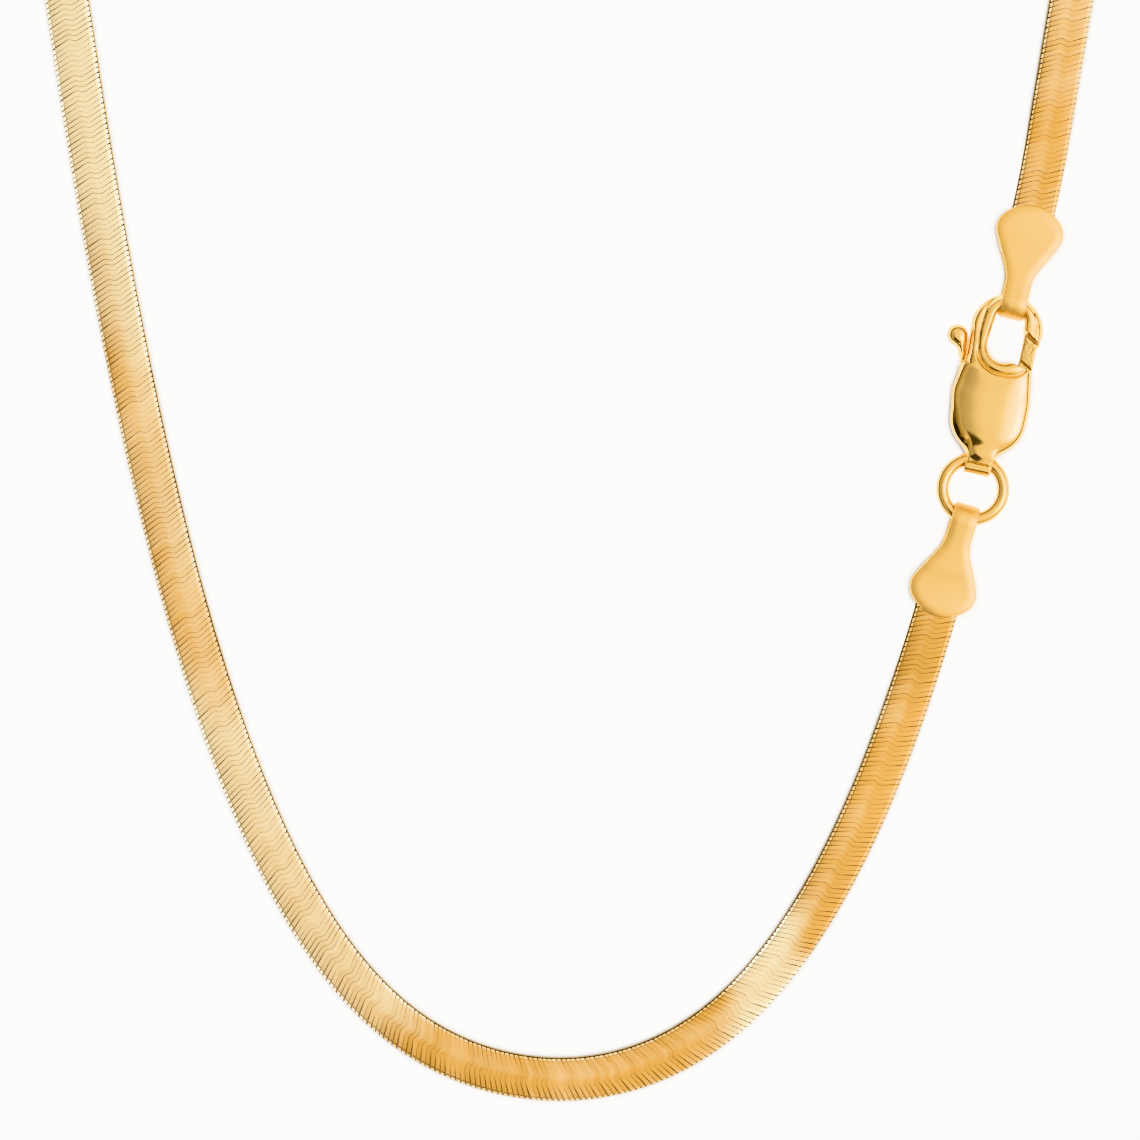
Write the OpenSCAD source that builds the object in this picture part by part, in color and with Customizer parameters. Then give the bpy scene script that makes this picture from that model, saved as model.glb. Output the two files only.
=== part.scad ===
// Herringbone chain with folded end tabs, a jump ring and a lobster clasp.
// It lies flat and face up on a surface at z = 0, in millimetres, with +Z up.
// The front of the necklace points to -Y, and the clasp is on the +X side.

/* [Necklace] */
// Length of the closed loop along its middle line
necklace_length = 457; // [430:1:520]
// Radius of the front bend on the side away from the clasp
plain_front_r = 21; // [19:0.25:24]
// Distance from the front at which that bend eases into the arm
plain_ease = 17; // [15:0.25:18]
// Radius of the front bend on the clasp's side
ring_front_r = 20; // [19:0.25:24]
// Distance from the front at which that bend eases into the arm
ring_ease = 16.75; // [15:0.25:18]
// Length of the arm on the side away from the clasp, up to where it runs straight
plain_arm = 100; // [80:1:110]
// Length of the arm from the front to the mouth of the ring end tab
ring_arm = 52; // [48:0.5:60]

/* [Chain] */
// Width of the flat chain
band_w = 3.5; // [3:0.1:4]
// Thickness of the flat chain
band_t = 1.1; // [0.9:0.05:1.3]
// Length over which the chain comes down from a tab to the surface
settle_length = 9; // [6:0.5:14]

/* [End tabs] */
// Length of a tab from its fold to its rounded mouth
tab_length = 9.45; // [8.5:0.05:11]
// Width of the pad at its widest
pad_w = 5.45; // [5:0.05:6]
// Radius of the pad's two outer corners
pad_corner_r = 1.6; // [1.3:0.05:1.8]
// Distance from the widest place to the mouth
pad_mouth = 2.15; // [2:0.05:2.4]
// Width of the narrow strip at the fold
strip_w = 2.1; // [1.8:0.05:2.2]
// Angle between the pad's flank and the tab's middle line
flank_angle = 26.5; // [22:0.5:32]
// Radius of the hollow curve between flank and strip
flank_r = 3; // [2:0.1:4]
// Radius of the strip's corners at the fold
fold_corner_r = 0.35; // [0.2:0.05:0.5]
// Thickness of the sheet metal
sheet_t = 0.3; // [0.2:0.05:0.35]
// Outer height of the fold
fold_od = 2.8; // [2.7:0.05:3]
// Length of chain held inside a pad
tab_grip = 3.5; // [2.5:0.1:4]

/* [Jump ring] */
// Outer diameter of the jump ring
ring_od = 5.95; // [5.6:0.05:6.6]
// Diameter of the jump ring's wire
ring_wire = 1.02; // [0.8:0.02:1.1]

/* [Clasp] */
// Length of the clasp from its tail to the top of its hook
clasp_length = 14.95; // [14.6:0.05:16]
// Width of the clasp's housing
body_w = 6.16; // [5.9:0.02:6.6]
// Height of the housing at its crown
body_t = 3; // [2.9:0.05:3.4]
// How far the crown falls towards the housing's sides
dome_drop = 0.5; // [0.3:0.05:0.6]
// Width across the hook
hook_w = 5.96; // [5.8:0.02:6.2]
// Thickness of the hook at its top
hook_t = 1.8; // [1.5:0.05:1.9]
// Width of the hook's wall above the eye
hook_wall = 0.95; // [0.8:0.05:1.2]
// Width at the waist between housing and hook
waist_w = 5.52; // [5.4:0.02:5.7]
// Width of the eye
eye_w = 2.86; // [2.7:0.02:3]
// Length of the eye
eye_length = 4.68; // [4.4:0.02:5]
// Sideways place of the eye
eye_shift = 0.08; // [0:0.02:0.12]
// Width of the raised rim around the eye
rim_w = 0.9; // [0.7:0.05:1]
// Width of the groove beside the rim
groove_w = 0.22; // [0.15:0.01:0.3]
// Depth of the groove beside the rim
groove_depth = 0.2; // [0.1:0.05:0.3]
// Width of the tail that holds the jump ring
tail_w = 2; // [1.8:0.05:2.2]
// Metal between the jump ring's hole and the end of the tail
tail_wall = 0.5; // [0.4:0.05:0.6]

/* [Lever] */
// Thickness of the slot in the housing
slot_t = 1.3; // [1.1:0.05:1.4]
// Width of the gate
gate_w = 1.18; // [1:0.02:1.25]
// Thickness of the gate above the rim
gate_t = 1.5; // [1.3:0.05:1.7]
// Radius of the thumb knob
knob_r = 0.85; // [0.7:0.05:0.95]
// Thickness of the thumb knob
knob_t = 1.8; // [1.3:0.05:2]
// Width of the stem beside the housing
stem_w = 0.36; // [0.3:0.02:0.5]
// Radius of the lever's hub
hub_r = 1; // [0.8:0.05:1.05]
// Diameter of the lever's pin
pin_d = 0.9; // [0.7:0.05:1]
// How far the pin reaches into the front wall
pin_seat = 0.3; // [0.2:0.05:0.35]

/* [Lie] */
// Tilt of the clasp from the middle line of the necklace
clasp_tilt = 12; // [10:0.5:16]
// Tilt of the hook end tab
hook_tab_tilt = 12.7; // [11:0.1:16]
// Tilt of the straight chain behind the hook end tab
hook_arm_tilt = 9.6; // [8:0.1:12]
// Length over which the chain bends from one tilt to the other
hook_bend = 6; // [4:0.5:10]

/* [Fits] */
// Gap around the chain inside a pad
fit_gap = 0.08; // [0.05:0.01:0.12]
// Gap where linked pieces pass through each other
link_gap = 0.05; // [0.03:0.01:0.08]
// Gap between the lever's faces and the slot
lever_gap = 0.1; // [0.08:0.01:0.14]
// Gap between the gate and the hook
gate_gap = 0.1; // [0.08:0.01:0.15]
// Radial gap of the lever on its pin
pin_gap = 0.05; // [0.03:0.01:0.08]
// Radial gap of the pin in the housing
pin_press_gap = 0.01; // [0.01:0.005:0.02]

/* [Hidden] */
$fn = 96;
gold = "#e3b55a";
// How far cutting shapes run past the metal
over = 1;

// Joined heights: everything that hooks together shares one middle height
mid_z = fold_od / 2;

// Turns a tilt from the middle line into a direction in plan
function tilt_dir(tilt) = [sin(tilt), cos(tilt)];
function cross_z(a, b) = a[0] * b[1] - a[1] * b[0];

// The jump ring and what it passes through
ring_mid_r = (ring_od - ring_wire) / 2;
ring_hole_r = ring_od / 2 - ring_wire;
tail_sag = ring_mid_r - sqrt(pow(ring_mid_r, 2) - pow(tail_w / 2, 2));
tail_lean = asin(tail_w / 2 / ring_mid_r);
tail_bore_r = (tail_sag + ring_wire / cos(tail_lean)) / 2 + link_gap;
ring_to_bore = ring_mid_r - tail_sag / 2;
ring_to_fold = sqrt(pow(ring_hole_r - link_gap, 2) - pow(strip_w / 2, 2)) - sheet_t;

// Clasp stations along its own middle line, counted from the jump ring's hole
tail_end = -tail_bore_r - tail_wall;
hook_top = tail_end + clasp_length;
hook_r = hook_w / 2;
hook_c = hook_top - hook_r;
body_r = body_w / 2;
shoulder_gap = 0.18;
eye_play = 0.15;
waist_drop = 1.27;
ring_at_tail = sqrt(pow(ring_od / 2, 2) - pow(tail_w / 2, 2)) - ring_to_bore;
body_c = ring_at_tail + shoulder_gap + sqrt(pow(body_r, 2) - pow(tail_w / 2, 2));
eye_r = eye_w / 2;
eye_top_r = strip_w / 2 + eye_play;
eye_top_c = hook_top - hook_wall - eye_top_r;
eye_low_c = eye_top_c + eye_top_r - eye_length + eye_r;
eye_to_fold = eye_top_c + sqrt(pow(eye_top_r - link_gap, 2) - pow(strip_w / 2, 2)) - sheet_t;
waist_q = eye_low_c - waist_drop;
side_r = 14;
side_x = waist_w / 2 + side_r;

// Side view of the clasp: lip and neck at the tail, crown, slope down to the hook
neck_front = -0.32;
lip_wall = 0.2;
neck_wall = 0.64;
tail_floor = 0.6;
lip_z = mid_z + tail_bore_r + lip_wall;
neck_z = mid_z + tail_bore_r + neck_wall;
tail_low_z = mid_z - tail_bore_r - tail_floor;
body_low_q = body_c - body_r;
crown_rise = 0.8;
back_rise = 0.6;
crown_past_eye = 2.3;
slope_past_eye = 0.2;
back_slope_lag = 1;
back_slope_lead = 0.8;
hook_slope_start = eye_low_c - crown_past_eye;
hook_slope_end = eye_top_c + slope_past_eye;
hook_high_z = mid_z + hook_t / 2;
hook_low_z = mid_z - hook_t / 2;
dome_r = (pow(body_r, 2) + pow(dome_drop, 2)) / (2 * dome_drop);

// The mouth between the housing and the end of the hook, where the gate stands
mouth_low_angle = 15;
mouth_drop = 0.32;
mouth_low = eye_low_c - eye_r - mouth_drop;
hook_end_angle = 32;
hook_end_rise = 0.48;
hook_end = eye_low_c + hook_end_rise;

// Slot in the housing, with the passage through which the gate comes out of it
slot_rise = 0.7;
slot_roof = 0.15;
slot_low = body_c + slot_rise;
slot_top = mouth_low - slot_roof;
side_wall = 0.62;
slot_inner = -0.3;
passage_low = mouth_low - 0.9;
passage_side = mouth_low - 0.55;
passage_top = eye_low_c - 0.5;

// Pin and lever
pin_p = 1.3;
pin_rise = 1.7;
pin_q = slot_low + pin_rise;
pin_top = mid_z + slot_t / 2 + pin_seat;
lever_t = slot_t - 2 * lever_gap;
arm_top = slot_top - lever_gap;
arm_rise = 2.2;
arm_low = slot_low + arm_rise;
arm_side_low = passage_low + lever_gap;
arm_side_top = arm_side_low + 0.4;
gate_inset = 0.08;
gate_out = waist_w / 2 - gate_inset;
gate_in = gate_out - gate_w;
gate_rise = 0.12;
gate_shoulder = mouth_low + gate_rise;
stem_in = waist_w / 2;
stem_out = stem_in + gate_gap + stem_w;
stem_root = 0.3;
knob_stand_off = 0.13;
knob_p = waist_w / 2 + gate_gap + knob_stand_off + knob_r;
knob_rise = 0.1;
knob_q = eye_low_c + knob_rise;
knob_blend_r = 0.9;
knob_blend_p = stem_out + knob_blend_r;
knob_blend_q = knob_q - sqrt(pow(knob_r + knob_blend_r, 2) - pow(knob_blend_p - knob_p, 2));

// Bend of an arm in degrees for each millimetre: tight at the front, then easing off
function bend_rate(s, front_r, ease, sharpness) =
    (180 / PI) / front_r / pow(1 + pow(s / ease, sharpness), 2 / sharpness);
function arm_step(p, turn, d) =
    let (mid = p[2] + turn / 2)
    [p[0] + d * cos(mid), p[1] + d * sin(mid), p[2] + turn];
// Points [x, y, angle] along one arm, from the front outwards
function arm(length, front_r, ease, sharpness) =
    let (count = ceil(length / arm_spacing), d = length / count)
    [
        for (i = 0, p = [0, 0, 0]; i <= count;
            p = arm_step(p, d * bend_rate((i + 0.5) * d, front_r, ease, sharpness), d), i = i + 1) p
    ];

arm_spacing = 2;
ring_sharpness = 4;
plain_sharpness = 6;
ring_side = arm(ring_arm, ring_front_r, ring_ease, ring_sharpness);
plain_side = arm(plain_arm, plain_front_r, plain_ease, plain_sharpness);
ring_side_end = ring_side[len(ring_side) - 1];
plain_side_end = plain_side[len(plain_side) - 1];

// Places of the linked pieces, with the front of the necklace at [0, 0]
ring_tab_tilt = 90 - ring_side_end[2];
ring_mouth = [ring_side_end[0], ring_side_end[1]];
ring_fold = ring_mouth + tab_length * tilt_dir(ring_tab_tilt);
ring_place = ring_fold + ring_to_fold * tilt_dir(ring_tab_tilt);
clasp_place = ring_place + ring_to_bore * tilt_dir(clasp_tilt);
hook_fold = clasp_place + eye_to_fold * tilt_dir(clasp_tilt) + eye_shift * tilt_dir(clasp_tilt + 90);
hook_mouth = hook_fold + tab_length * tilt_dir(hook_tab_tilt);

// Chain behind the hook end tab, bending from the tab's tilt to the arm's
hook_bend_count = 6;
function hook_bend_step(p, d) =
    let (turn = (hook_arm_tilt - hook_tab_tilt) / hook_bend_count, mid = p[2] + turn / 2)
    [p[0] + d * sin(mid), p[1] + d * cos(mid), p[2] + turn];
hook_side = [
    for (i = 0, p = [hook_mouth[0], hook_mouth[1], hook_tab_tilt]; i <= hook_bend_count;
        p = hook_bend_step(p, hook_bend / hook_bend_count), i = i + 1) p
];
hook_side_end = hook_side[hook_bend_count];
// Stations past that bend, where the chain still comes down to the surface
hook_run_count = 4;
hook_run = [
    for (i = [hook_run_count : -1 : 1])
    let (s = max(settle_length - hook_bend, 0) * i / hook_run_count)
    if (s > 0) [
        hook_side_end[0] + s * sin(hook_arm_tilt), hook_side_end[1] + s * cos(hook_arm_tilt),
        -90 - hook_arm_tilt, hook_bend + s
    ]
];

// The back of the loop: two straights and an arc that bring it to its full length
plain_tilt = 90 - plain_side_end[2];
plain_end = [-plain_side_end[0], plain_side_end[1]];
hook_arm_end = [hook_side_end[0], hook_side_end[1]];
spread = (plain_tilt + hook_arm_tilt) / 2;
to_apex = plain_end - hook_arm_end;
apex_cross = cross_z(tilt_dir(-plain_tilt), tilt_dir(hook_arm_tilt));
plain_to_apex = cross_z(to_apex, tilt_dir(hook_arm_tilt)) / apex_cross;
hook_to_apex = cross_z(to_apex, tilt_dir(-plain_tilt)) / apex_cross;
linked_length = 2 * tab_length + ring_to_fold + ring_to_bore + eye_to_fold;
back_length = necklace_length - ring_arm - linked_length - hook_bend - plain_arm;
back_r = (back_length + plain_to_apex + hook_to_apex) / (2 / tan(spread) + PI * (1 + spread / 90));
plain_straight = back_r / tan(spread) - plain_to_apex;
back_c = plain_end + plain_straight * tilt_dir(-plain_tilt) + back_r * tilt_dir(90 - plain_tilt);
back_turn = 180 + plain_tilt + hook_arm_tilt;
back_count = 52;

// The origin is under the middle of the loop's footprint
origin = [back_c[0], (back_c[1] + back_r) / 2];

// Route of the chain as [x, y, heading, distance from the nearer tab's mouth]
ring_count = len(ring_side) - 1;
plain_count = len(plain_side) - 1;
far = 1000;
ring_end = ring_mouth + tab_grip * tilt_dir(ring_tab_tilt);
hook_end_in_tab = hook_mouth - tab_grip * tilt_dir(hook_tab_tilt);
route = concat(
    [[ring_end[0], ring_end[1], ring_side_end[2] + 180, -tab_grip]],
    [
        for (i = [ring_count : -1 : 0])
        [ring_side[i][0], ring_side[i][1], ring_side[i][2] + 180, ring_arm * (1 - i / ring_count)]
    ],
    [for (i = [1 : plain_count]) [-plain_side[i][0], plain_side[i][1], 180 - plain_side[i][2], far]],
    [
        for (i = [0 : back_count])
        let (a = 180 + plain_tilt - back_turn * i / back_count)
        [back_c[0] + back_r * cos(a), back_c[1] + back_r * sin(a), a - 90, far]
    ],
    hook_run,
    [
        for (i = [hook_bend_count : -1 : 0])
        [hook_side[i][0], hook_side[i][1], -90 - hook_side[i][2], i * hook_bend / hook_bend_count]
    ],
    [[hook_end_in_tab[0], hook_end_in_tab[1], -90 - hook_tab_tilt, -tab_grip]]
);

// Height of the chain's middle: held in the tabs, lying on the surface elsewhere
held_z = sheet_t + fit_gap + band_t / 2;
rest_z = band_t / 2;
function settle(distance) = (1 - cos(180 * min(max(distance / settle_length, 0), 1))) / 2;
function band_z(distance) = held_z + (rest_z - held_z) * settle(distance);

// Cross section of the chain, flat above and below with round edges
edge_count = 5;
band_section = [
    for (side = [1, -1], k = [0 : edge_count])
    let (a = -90 * side + 180 * k / edge_count)
    [side * (band_w - band_t) / 2 + band_t / 2 * cos(a), band_t / 2 * sin(a)]
];
section_count = len(band_section);

// Corner of the section placed at one station of the route
function band_point(station, corner) =
    [
        station[0] - origin[0] + corner[0] * sin(station[2]),
        station[1] - origin[1] - corner[0] * cos(station[2]),
        band_z(station[3]) + corner[1]
    ];

module herringbone_band() {
    last = len(route) - 1;
    points = [for (station = route, corner = band_section) band_point(station, corner)];
    sides = [
        for (i = [0 : last - 1], k = [0 : section_count - 1])
        let (a = i * section_count, b = a + section_count, n = (k + 1) % section_count)
        [a + k, b + k, b + n, a + n]
    ];
    first_end = [for (k = [0 : section_count - 1]) k];
    last_end = [for (k = [section_count - 1 : -1 : 0]) last * section_count + k];
    color(gold) polyhedron(points, concat(sides, [first_end, last_end]));
}

// Stands a shape at a place in plan, with its own +Y turned to the given tilt
module place(at, tilt) {
    translate([at[0] - origin[0], at[1] - origin[1], 0]) rotate([0, 0, -tilt]) children();
}

// Extrudes a side view, drawn as [along, height], symmetrically across the middle line
module side_extrude(width) {
    translate([-width / 2, 0, 0]) rotate([90, 0, 90]) linear_extrude(width) children();
}

// Tab sizes that follow from the ones above
pad_t = 2 * (sheet_t + fit_gap) + band_t;
pad_wide_y = tab_length - pad_mouth;
corner_x = pad_w / 2 - pad_corner_r;
mouth_r = (pow(corner_x, 2) + pow(pad_mouth, 2) - pow(pad_corner_r, 2)) / (2 * (pad_mouth - pad_corner_r));
mouth_c = tab_length - mouth_r;
flank_top = [corner_x + pad_corner_r * cos(flank_angle), pad_wide_y - pad_corner_r * sin(flank_angle)];
flank_foot = [strip_w / 2, flank_top[1] - (flank_top[0] - strip_w / 2) / tan(flank_angle)];
flank_tangent = flank_r * tan(flank_angle / 2);
pad_length = 3.85;
pad_start = tab_length - pad_length;
fold_r = fold_od / 2;
leaf_reach = norm([pad_start - fold_r, pad_t - fold_r]);
leaf_slope = asin(fold_r / leaf_reach) - atan2(pad_t - fold_r, pad_start - fold_r);

// Outline of a tab seen from above, with the fold at y = 0
module tab_outline() {
    root = 0.1;
    wedge = 3;
    difference() {
        translate([-strip_w / 2, 0]) square([strip_w, pad_wide_y]);
        for (side = [-1, 1]) {
            difference() {
                translate([side * strip_w / 2 - fold_corner_r, -fold_corner_r])
                    square(2 * fold_corner_r);
                translate([side * (strip_w / 2 - fold_corner_r), fold_corner_r])
                    circle(fold_corner_r);
            }
        }
    }
    for (side = [0, 1]) {
        mirror([side, 0]) {
            translate([corner_x, pad_wide_y]) circle(pad_corner_r);
            polygon([
                [0, flank_foot[1]], flank_foot, flank_top,
                [corner_x, pad_wide_y], [0, pad_wide_y]
            ]);
            difference() {
                polygon([
                    flank_foot - [root, 0],
                    [strip_w / 2 - root, flank_foot[1] - flank_tangent],
                    [strip_w / 2, flank_foot[1] - flank_tangent],
                    flank_foot + flank_tangent * [sin(flank_angle), cos(flank_angle)]
                ]);
                translate([strip_w / 2 + flank_r, flank_foot[1] - flank_tangent]) circle(flank_r);
            }
        }
    }
    intersection() {
        translate([0, mouth_c]) circle(mouth_r);
        polygon([
            [0, mouth_c],
            [0, mouth_c] + wedge * [corner_x, pad_wide_y - mouth_c],
            [0, tab_length + over],
            [0, mouth_c] + wedge * [-corner_x, pad_wide_y - mouth_c]
        ]);
    }
}

// Side view of a tab grown inwards by the given amount: 0 is its outside
module tab_side(inset) {
    bend_shift = inset * tan(leaf_slope / 2);
    reach = tab_length + (inset > 0 ? over : 0);
    translate([fold_r, fold_r]) circle(fold_r - inset);
    polygon([
        [fold_r, fold_r], [fold_r, inset], [reach, inset], [reach, pad_t - inset],
        [pad_start - bend_shift, pad_t - inset],
        [fold_r + (fold_r - inset) * sin(leaf_slope), fold_r + (fold_r - inset) * cos(leaf_slope)]
    ]);
}

module end_tab() {
    color(gold) difference() {
        intersection() {
            linear_extrude(fold_od) tab_outline();
            side_extrude(pad_w + over) tab_side(0);
        }
        side_extrude(band_w + 2 * fit_gap) tab_side(sheet_t);
    }
}

module hook_end_tab() {
    place(hook_fold, hook_tab_tilt) end_tab();
}

// The ring end tab points the other way, so it is turned right round
module ring_end_tab() {
    place(ring_fold, ring_tab_tilt + 180) end_tab();
}

module jump_ring() {
    color(gold) place(ring_place, 0)
        translate([0, 0, mid_z]) rotate_extrude() translate([ring_mid_r, 0]) circle(ring_wire / 2);
}

// Outline of the eye, grown by the given amount
module eye_outline(grow) {
    low_r = eye_r + grow;
    top_r = eye_top_r + grow;
    lean = asin((low_r - top_r) / (eye_top_c - eye_low_c));
    translate([eye_shift, 0]) {
        translate([0, eye_low_c]) circle(low_r);
        translate([0, eye_top_c]) circle(top_r);
        polygon([
            for (side = [1, -1], at_top = [0, 1])
            let (top = side > 0 ? at_top : 1 - at_top, r = top == 1 ? top_r : low_r)
            [side * r * cos(lean), (top == 1 ? eye_top_c : eye_low_c) + r * sin(lean)]
        ]);
    }
}

// Height of a slanted edge at a given distance from the middle line
function slant(base, angle, p) = base + (waist_w / 2 - p) * tan(angle);

// The gap in the outline where the gate stands
module mouth_outline() {
    outside = hook_r + over;
    polygon([
        [eye_shift, slant(mouth_low, mouth_low_angle, eye_shift)],
        [outside, slant(mouth_low, mouth_low_angle, outside)],
        [outside, slant(hook_end, hook_end_angle, outside)],
        [eye_shift, slant(hook_end, hook_end_angle, eye_shift)]
    ]);
}

// Outline of the housing, hook and tail without their openings
module clasp_outline() {
    difference() {
        union() {
            translate([0, body_c]) circle(body_r);
            translate([0, hook_c]) circle(hook_r);
            translate([-body_r, body_c]) square([body_w, waist_q - body_c]);
            translate([-hook_r, waist_q]) square([hook_w, hook_c - waist_q]);
        }
        for (side = [-1, 1]) {
            translate([side * side_x, waist_q]) circle(side_r, $fn = 240);
        }
    }
    translate([-tail_w / 2, tail_end]) square([tail_w, body_c - tail_end]);
}

// Crowned housing that thins towards hook and tail
module clasp_form() {
    intersection() {
        side_extrude(body_w + 2 * over) polygon([
            [tail_end - over, tail_low_z], [tail_end - over, lip_z], [neck_front, lip_z],
            [neck_front, neck_z], [body_low_q + crown_rise, body_t], [hook_slope_start, body_t],
            [hook_slope_end, hook_high_z], [hook_top + over, hook_high_z],
            [hook_top + over, hook_low_z], [hook_slope_end - back_slope_lead, hook_low_z],
            [hook_slope_start + back_slope_lag, 0], [body_low_q + back_rise, 0], [0, tail_low_z]
        ]);
        translate([0, tail_end - over, body_t - dome_r])
            rotate([-90, 0, 0]) cylinder(h = clasp_length + 2 * over, r = dome_r, $fn = 240);
    }
}

// Slot in the housing, open to the thumb side, to the eye and to the gate
module slot_outline() {
    wall_x = body_r - side_wall;
    outside = body_r + over;
    polygon([
        [-outside, slot_low], [wall_x, slot_low], [wall_x, passage_low],
        [outside, passage_side], [outside, passage_top], [slot_inner, passage_top],
        [slot_inner, slot_top], [-outside, slot_top]
    ]);
}

module clasp_body() {
    color(gold) place(clasp_place, clasp_tilt) difference() {
        intersection() {
            linear_extrude(body_t + over) clasp_outline();
            clasp_form();
        }
        difference() {
            linear_extrude(body_t + over) difference() {
                eye_outline(rim_w + groove_w);
                eye_outline(rim_w);
            }
            translate([0, 0, -groove_depth]) clasp_form();
        }
        translate([0, 0, -over]) linear_extrude(body_t + 2 * over) {
            eye_outline(0);
            mouth_outline();
        }
        translate([0, 0, mid_z - slot_t / 2]) linear_extrude(slot_t) slot_outline();
        translate([-body_r, 0, mid_z]) rotate([0, 90, 0]) cylinder(h = body_w, r = tail_bore_r);
        translate([pin_p, pin_q, -over])
            cylinder(h = pin_top + over + pin_press_gap, r = pin_d / 2 + pin_press_gap);
    }
}

// The lever's arm from the stem past the hub to the foot of the gate
module arm_outline() {
    wall_x = body_r - side_wall - lever_gap;
    translate([pin_p, pin_q]) circle(hub_r);
    polygon([
        [-stem_out, arm_low], [-stem_out, arm_top], [gate_in, arm_top], [gate_in, eye_low_c],
        [gate_out, eye_low_c], [gate_out, arm_side_top], [wall_x, arm_side_low],
        [wall_x, pin_q], [pin_p, pin_q - hub_r]
    ]);
}

// Gate, ending parallel to the end of the hook
module gate_outline() {
    end_drop = gate_gap / cos(hook_end_angle);
    outer_rise = 0.1;
    polygon([
        [gate_in, slant(gate_shoulder, 2 * mouth_low_angle, gate_in)],
        [gate_out, gate_shoulder + outer_rise],
        [gate_out, slant(hook_end, hook_end_angle, gate_out) - end_drop],
        [gate_in, slant(hook_end, hook_end_angle, gate_in) - end_drop]
    ]);
}

// Thumb knob, blended into the stem that runs down beside the housing
module knob_outline() {
    translate([-knob_p, knob_q]) circle(knob_r);
    difference() {
        polygon([
            [-knob_p, knob_q], [-knob_blend_p, knob_blend_q], [-stem_out, knob_blend_q],
            [-stem_in, knob_blend_q], [-stem_in, knob_q]
        ]);
        translate([-knob_blend_p, knob_blend_q]) circle(knob_blend_r);
    }
}

module stem_outline() {
    translate([-stem_out, arm_low]) square([stem_out - stem_in, knob_q - arm_low]);
    translate([-stem_out, arm_low]) square([stem_out - stem_in + stem_root, arm_top - arm_low]);
}

module clasp_lever() {
    color(gold) place(clasp_place, clasp_tilt) difference() {
        union() {
            translate([0, 0, mid_z - lever_t / 2]) linear_extrude(lever_t) {
                arm_outline();
                gate_outline();
                knob_outline();
                stem_outline();
            }
            translate([0, 0, mid_z - gate_t / 2]) linear_extrude(gate_t) gate_outline();
            translate([0, 0, mid_z - knob_t / 2]) linear_extrude(knob_t) knob_outline();
        }
        difference() {
            translate([-body_r, arm_top, 0]) cube([body_r, clasp_length, body_t]);
            translate([-side_x, waist_q, -over])
                cylinder(h = body_t + 2 * over, r = side_r - gate_gap, $fn = 240);
        }
        translate([pin_p, pin_q, -over])
            cylinder(h = body_t + 2 * over, r = pin_d / 2 + pin_gap);
    }
}

module lever_pin() {
    color(gold) place(clasp_place, clasp_tilt)
        translate([pin_p, pin_q, 0]) cylinder(h = pin_top, r = pin_d / 2);
}

herringbone_band();
hook_end_tab();
ring_end_tab();
jump_ring();
clasp_body();
clasp_lever();
lever_pin();
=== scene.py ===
"""Looks of a gold herringbone chain that lies closed on a white table."""

import logging
import math
from collections.abc import Callable, Sequence
from dataclasses import dataclass, field
from enum import Enum
from typing import ClassVar

import bpy
import numpy as np
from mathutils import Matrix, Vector


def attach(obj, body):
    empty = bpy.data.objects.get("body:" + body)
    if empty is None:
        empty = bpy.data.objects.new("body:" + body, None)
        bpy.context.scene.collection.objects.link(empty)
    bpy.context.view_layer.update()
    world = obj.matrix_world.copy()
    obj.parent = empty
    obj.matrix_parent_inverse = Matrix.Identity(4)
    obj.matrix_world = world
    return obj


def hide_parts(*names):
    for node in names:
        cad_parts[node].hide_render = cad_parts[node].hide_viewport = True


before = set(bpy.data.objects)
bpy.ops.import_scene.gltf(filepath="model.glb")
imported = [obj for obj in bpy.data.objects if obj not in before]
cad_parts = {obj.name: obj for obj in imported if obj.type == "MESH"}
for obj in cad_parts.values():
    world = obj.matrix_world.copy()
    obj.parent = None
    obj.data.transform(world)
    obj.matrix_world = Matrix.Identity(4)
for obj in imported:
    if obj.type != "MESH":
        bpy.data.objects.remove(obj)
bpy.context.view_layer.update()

LOG = logging.getLogger("herringbone_chain")
MM = 0.001
Array = np.ndarray
Socket = bpy.types.NodeSocket
Colour = tuple[float, float, float]
Field = Callable[[Array, Array, Array], Array]
Point = tuple[float, float]


class Surface(Enum):
    """How a gold surface is finished."""

    LINKS = "links"
    SATIN = "satin"
    POLISHED = "polished"
    CAST = "cast"


# ---------------------------------------------------------------- distances


def circle(x: Array, y: Array, centre: Point, radius: float) -> Array:
    """Distance from a circle, negative inside."""
    return np.hypot(x - centre[0], y - centre[1]) - radius


def rectangle(x: Array, y: Array, low: Point, high: Point) -> Array:
    """Distance from a rectangle, negative inside.

    Args:
        x: First coordinates.
        y: Second coordinates.
        low: Lowest corner.
        high: Highest corner.

    Returns:
        The signed distances.
    """
    dx = np.abs(x - (low[0] + high[0]) / 2) - (high[0] - low[0]) / 2
    dy = np.abs(y - (low[1] + high[1]) / 2) - (high[1] - low[1]) / 2
    outside = np.hypot(np.maximum(dx, 0), np.maximum(dy, 0))
    return outside + np.minimum(np.maximum(dx, dy), 0)


def polygon(x: Array, y: Array, corners: Sequence[Point]) -> Array:
    """Distance from a closed polygon, negative inside.

    Args:
        x: First coordinates.
        y: Second coordinates.
        corners: The polygon's corners in order.

    Returns:
        The signed distances.
    """
    x, y = np.broadcast_arrays(x, y)
    near = np.full(x.shape, np.inf)
    inside = np.zeros(x.shape, bool)
    for (ax, ay), (bx, by) in zip(corners, [*corners[1:], corners[0]]):
        ex, ey = bx - ax, by - ay
        share = np.clip(((x - ax) * ex + (y - ay) * ey) / (ex * ex + ey * ey), 0, 1)
        near = np.minimum(near, np.hypot(x - ax - share * ex, y - ay - share * ey))
        if ay != by:
            inside ^= ((ay > y) != (by > y)) & (x < ex * (y - ay) / ey + ax)
    return np.where(inside, -near, near)


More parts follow.
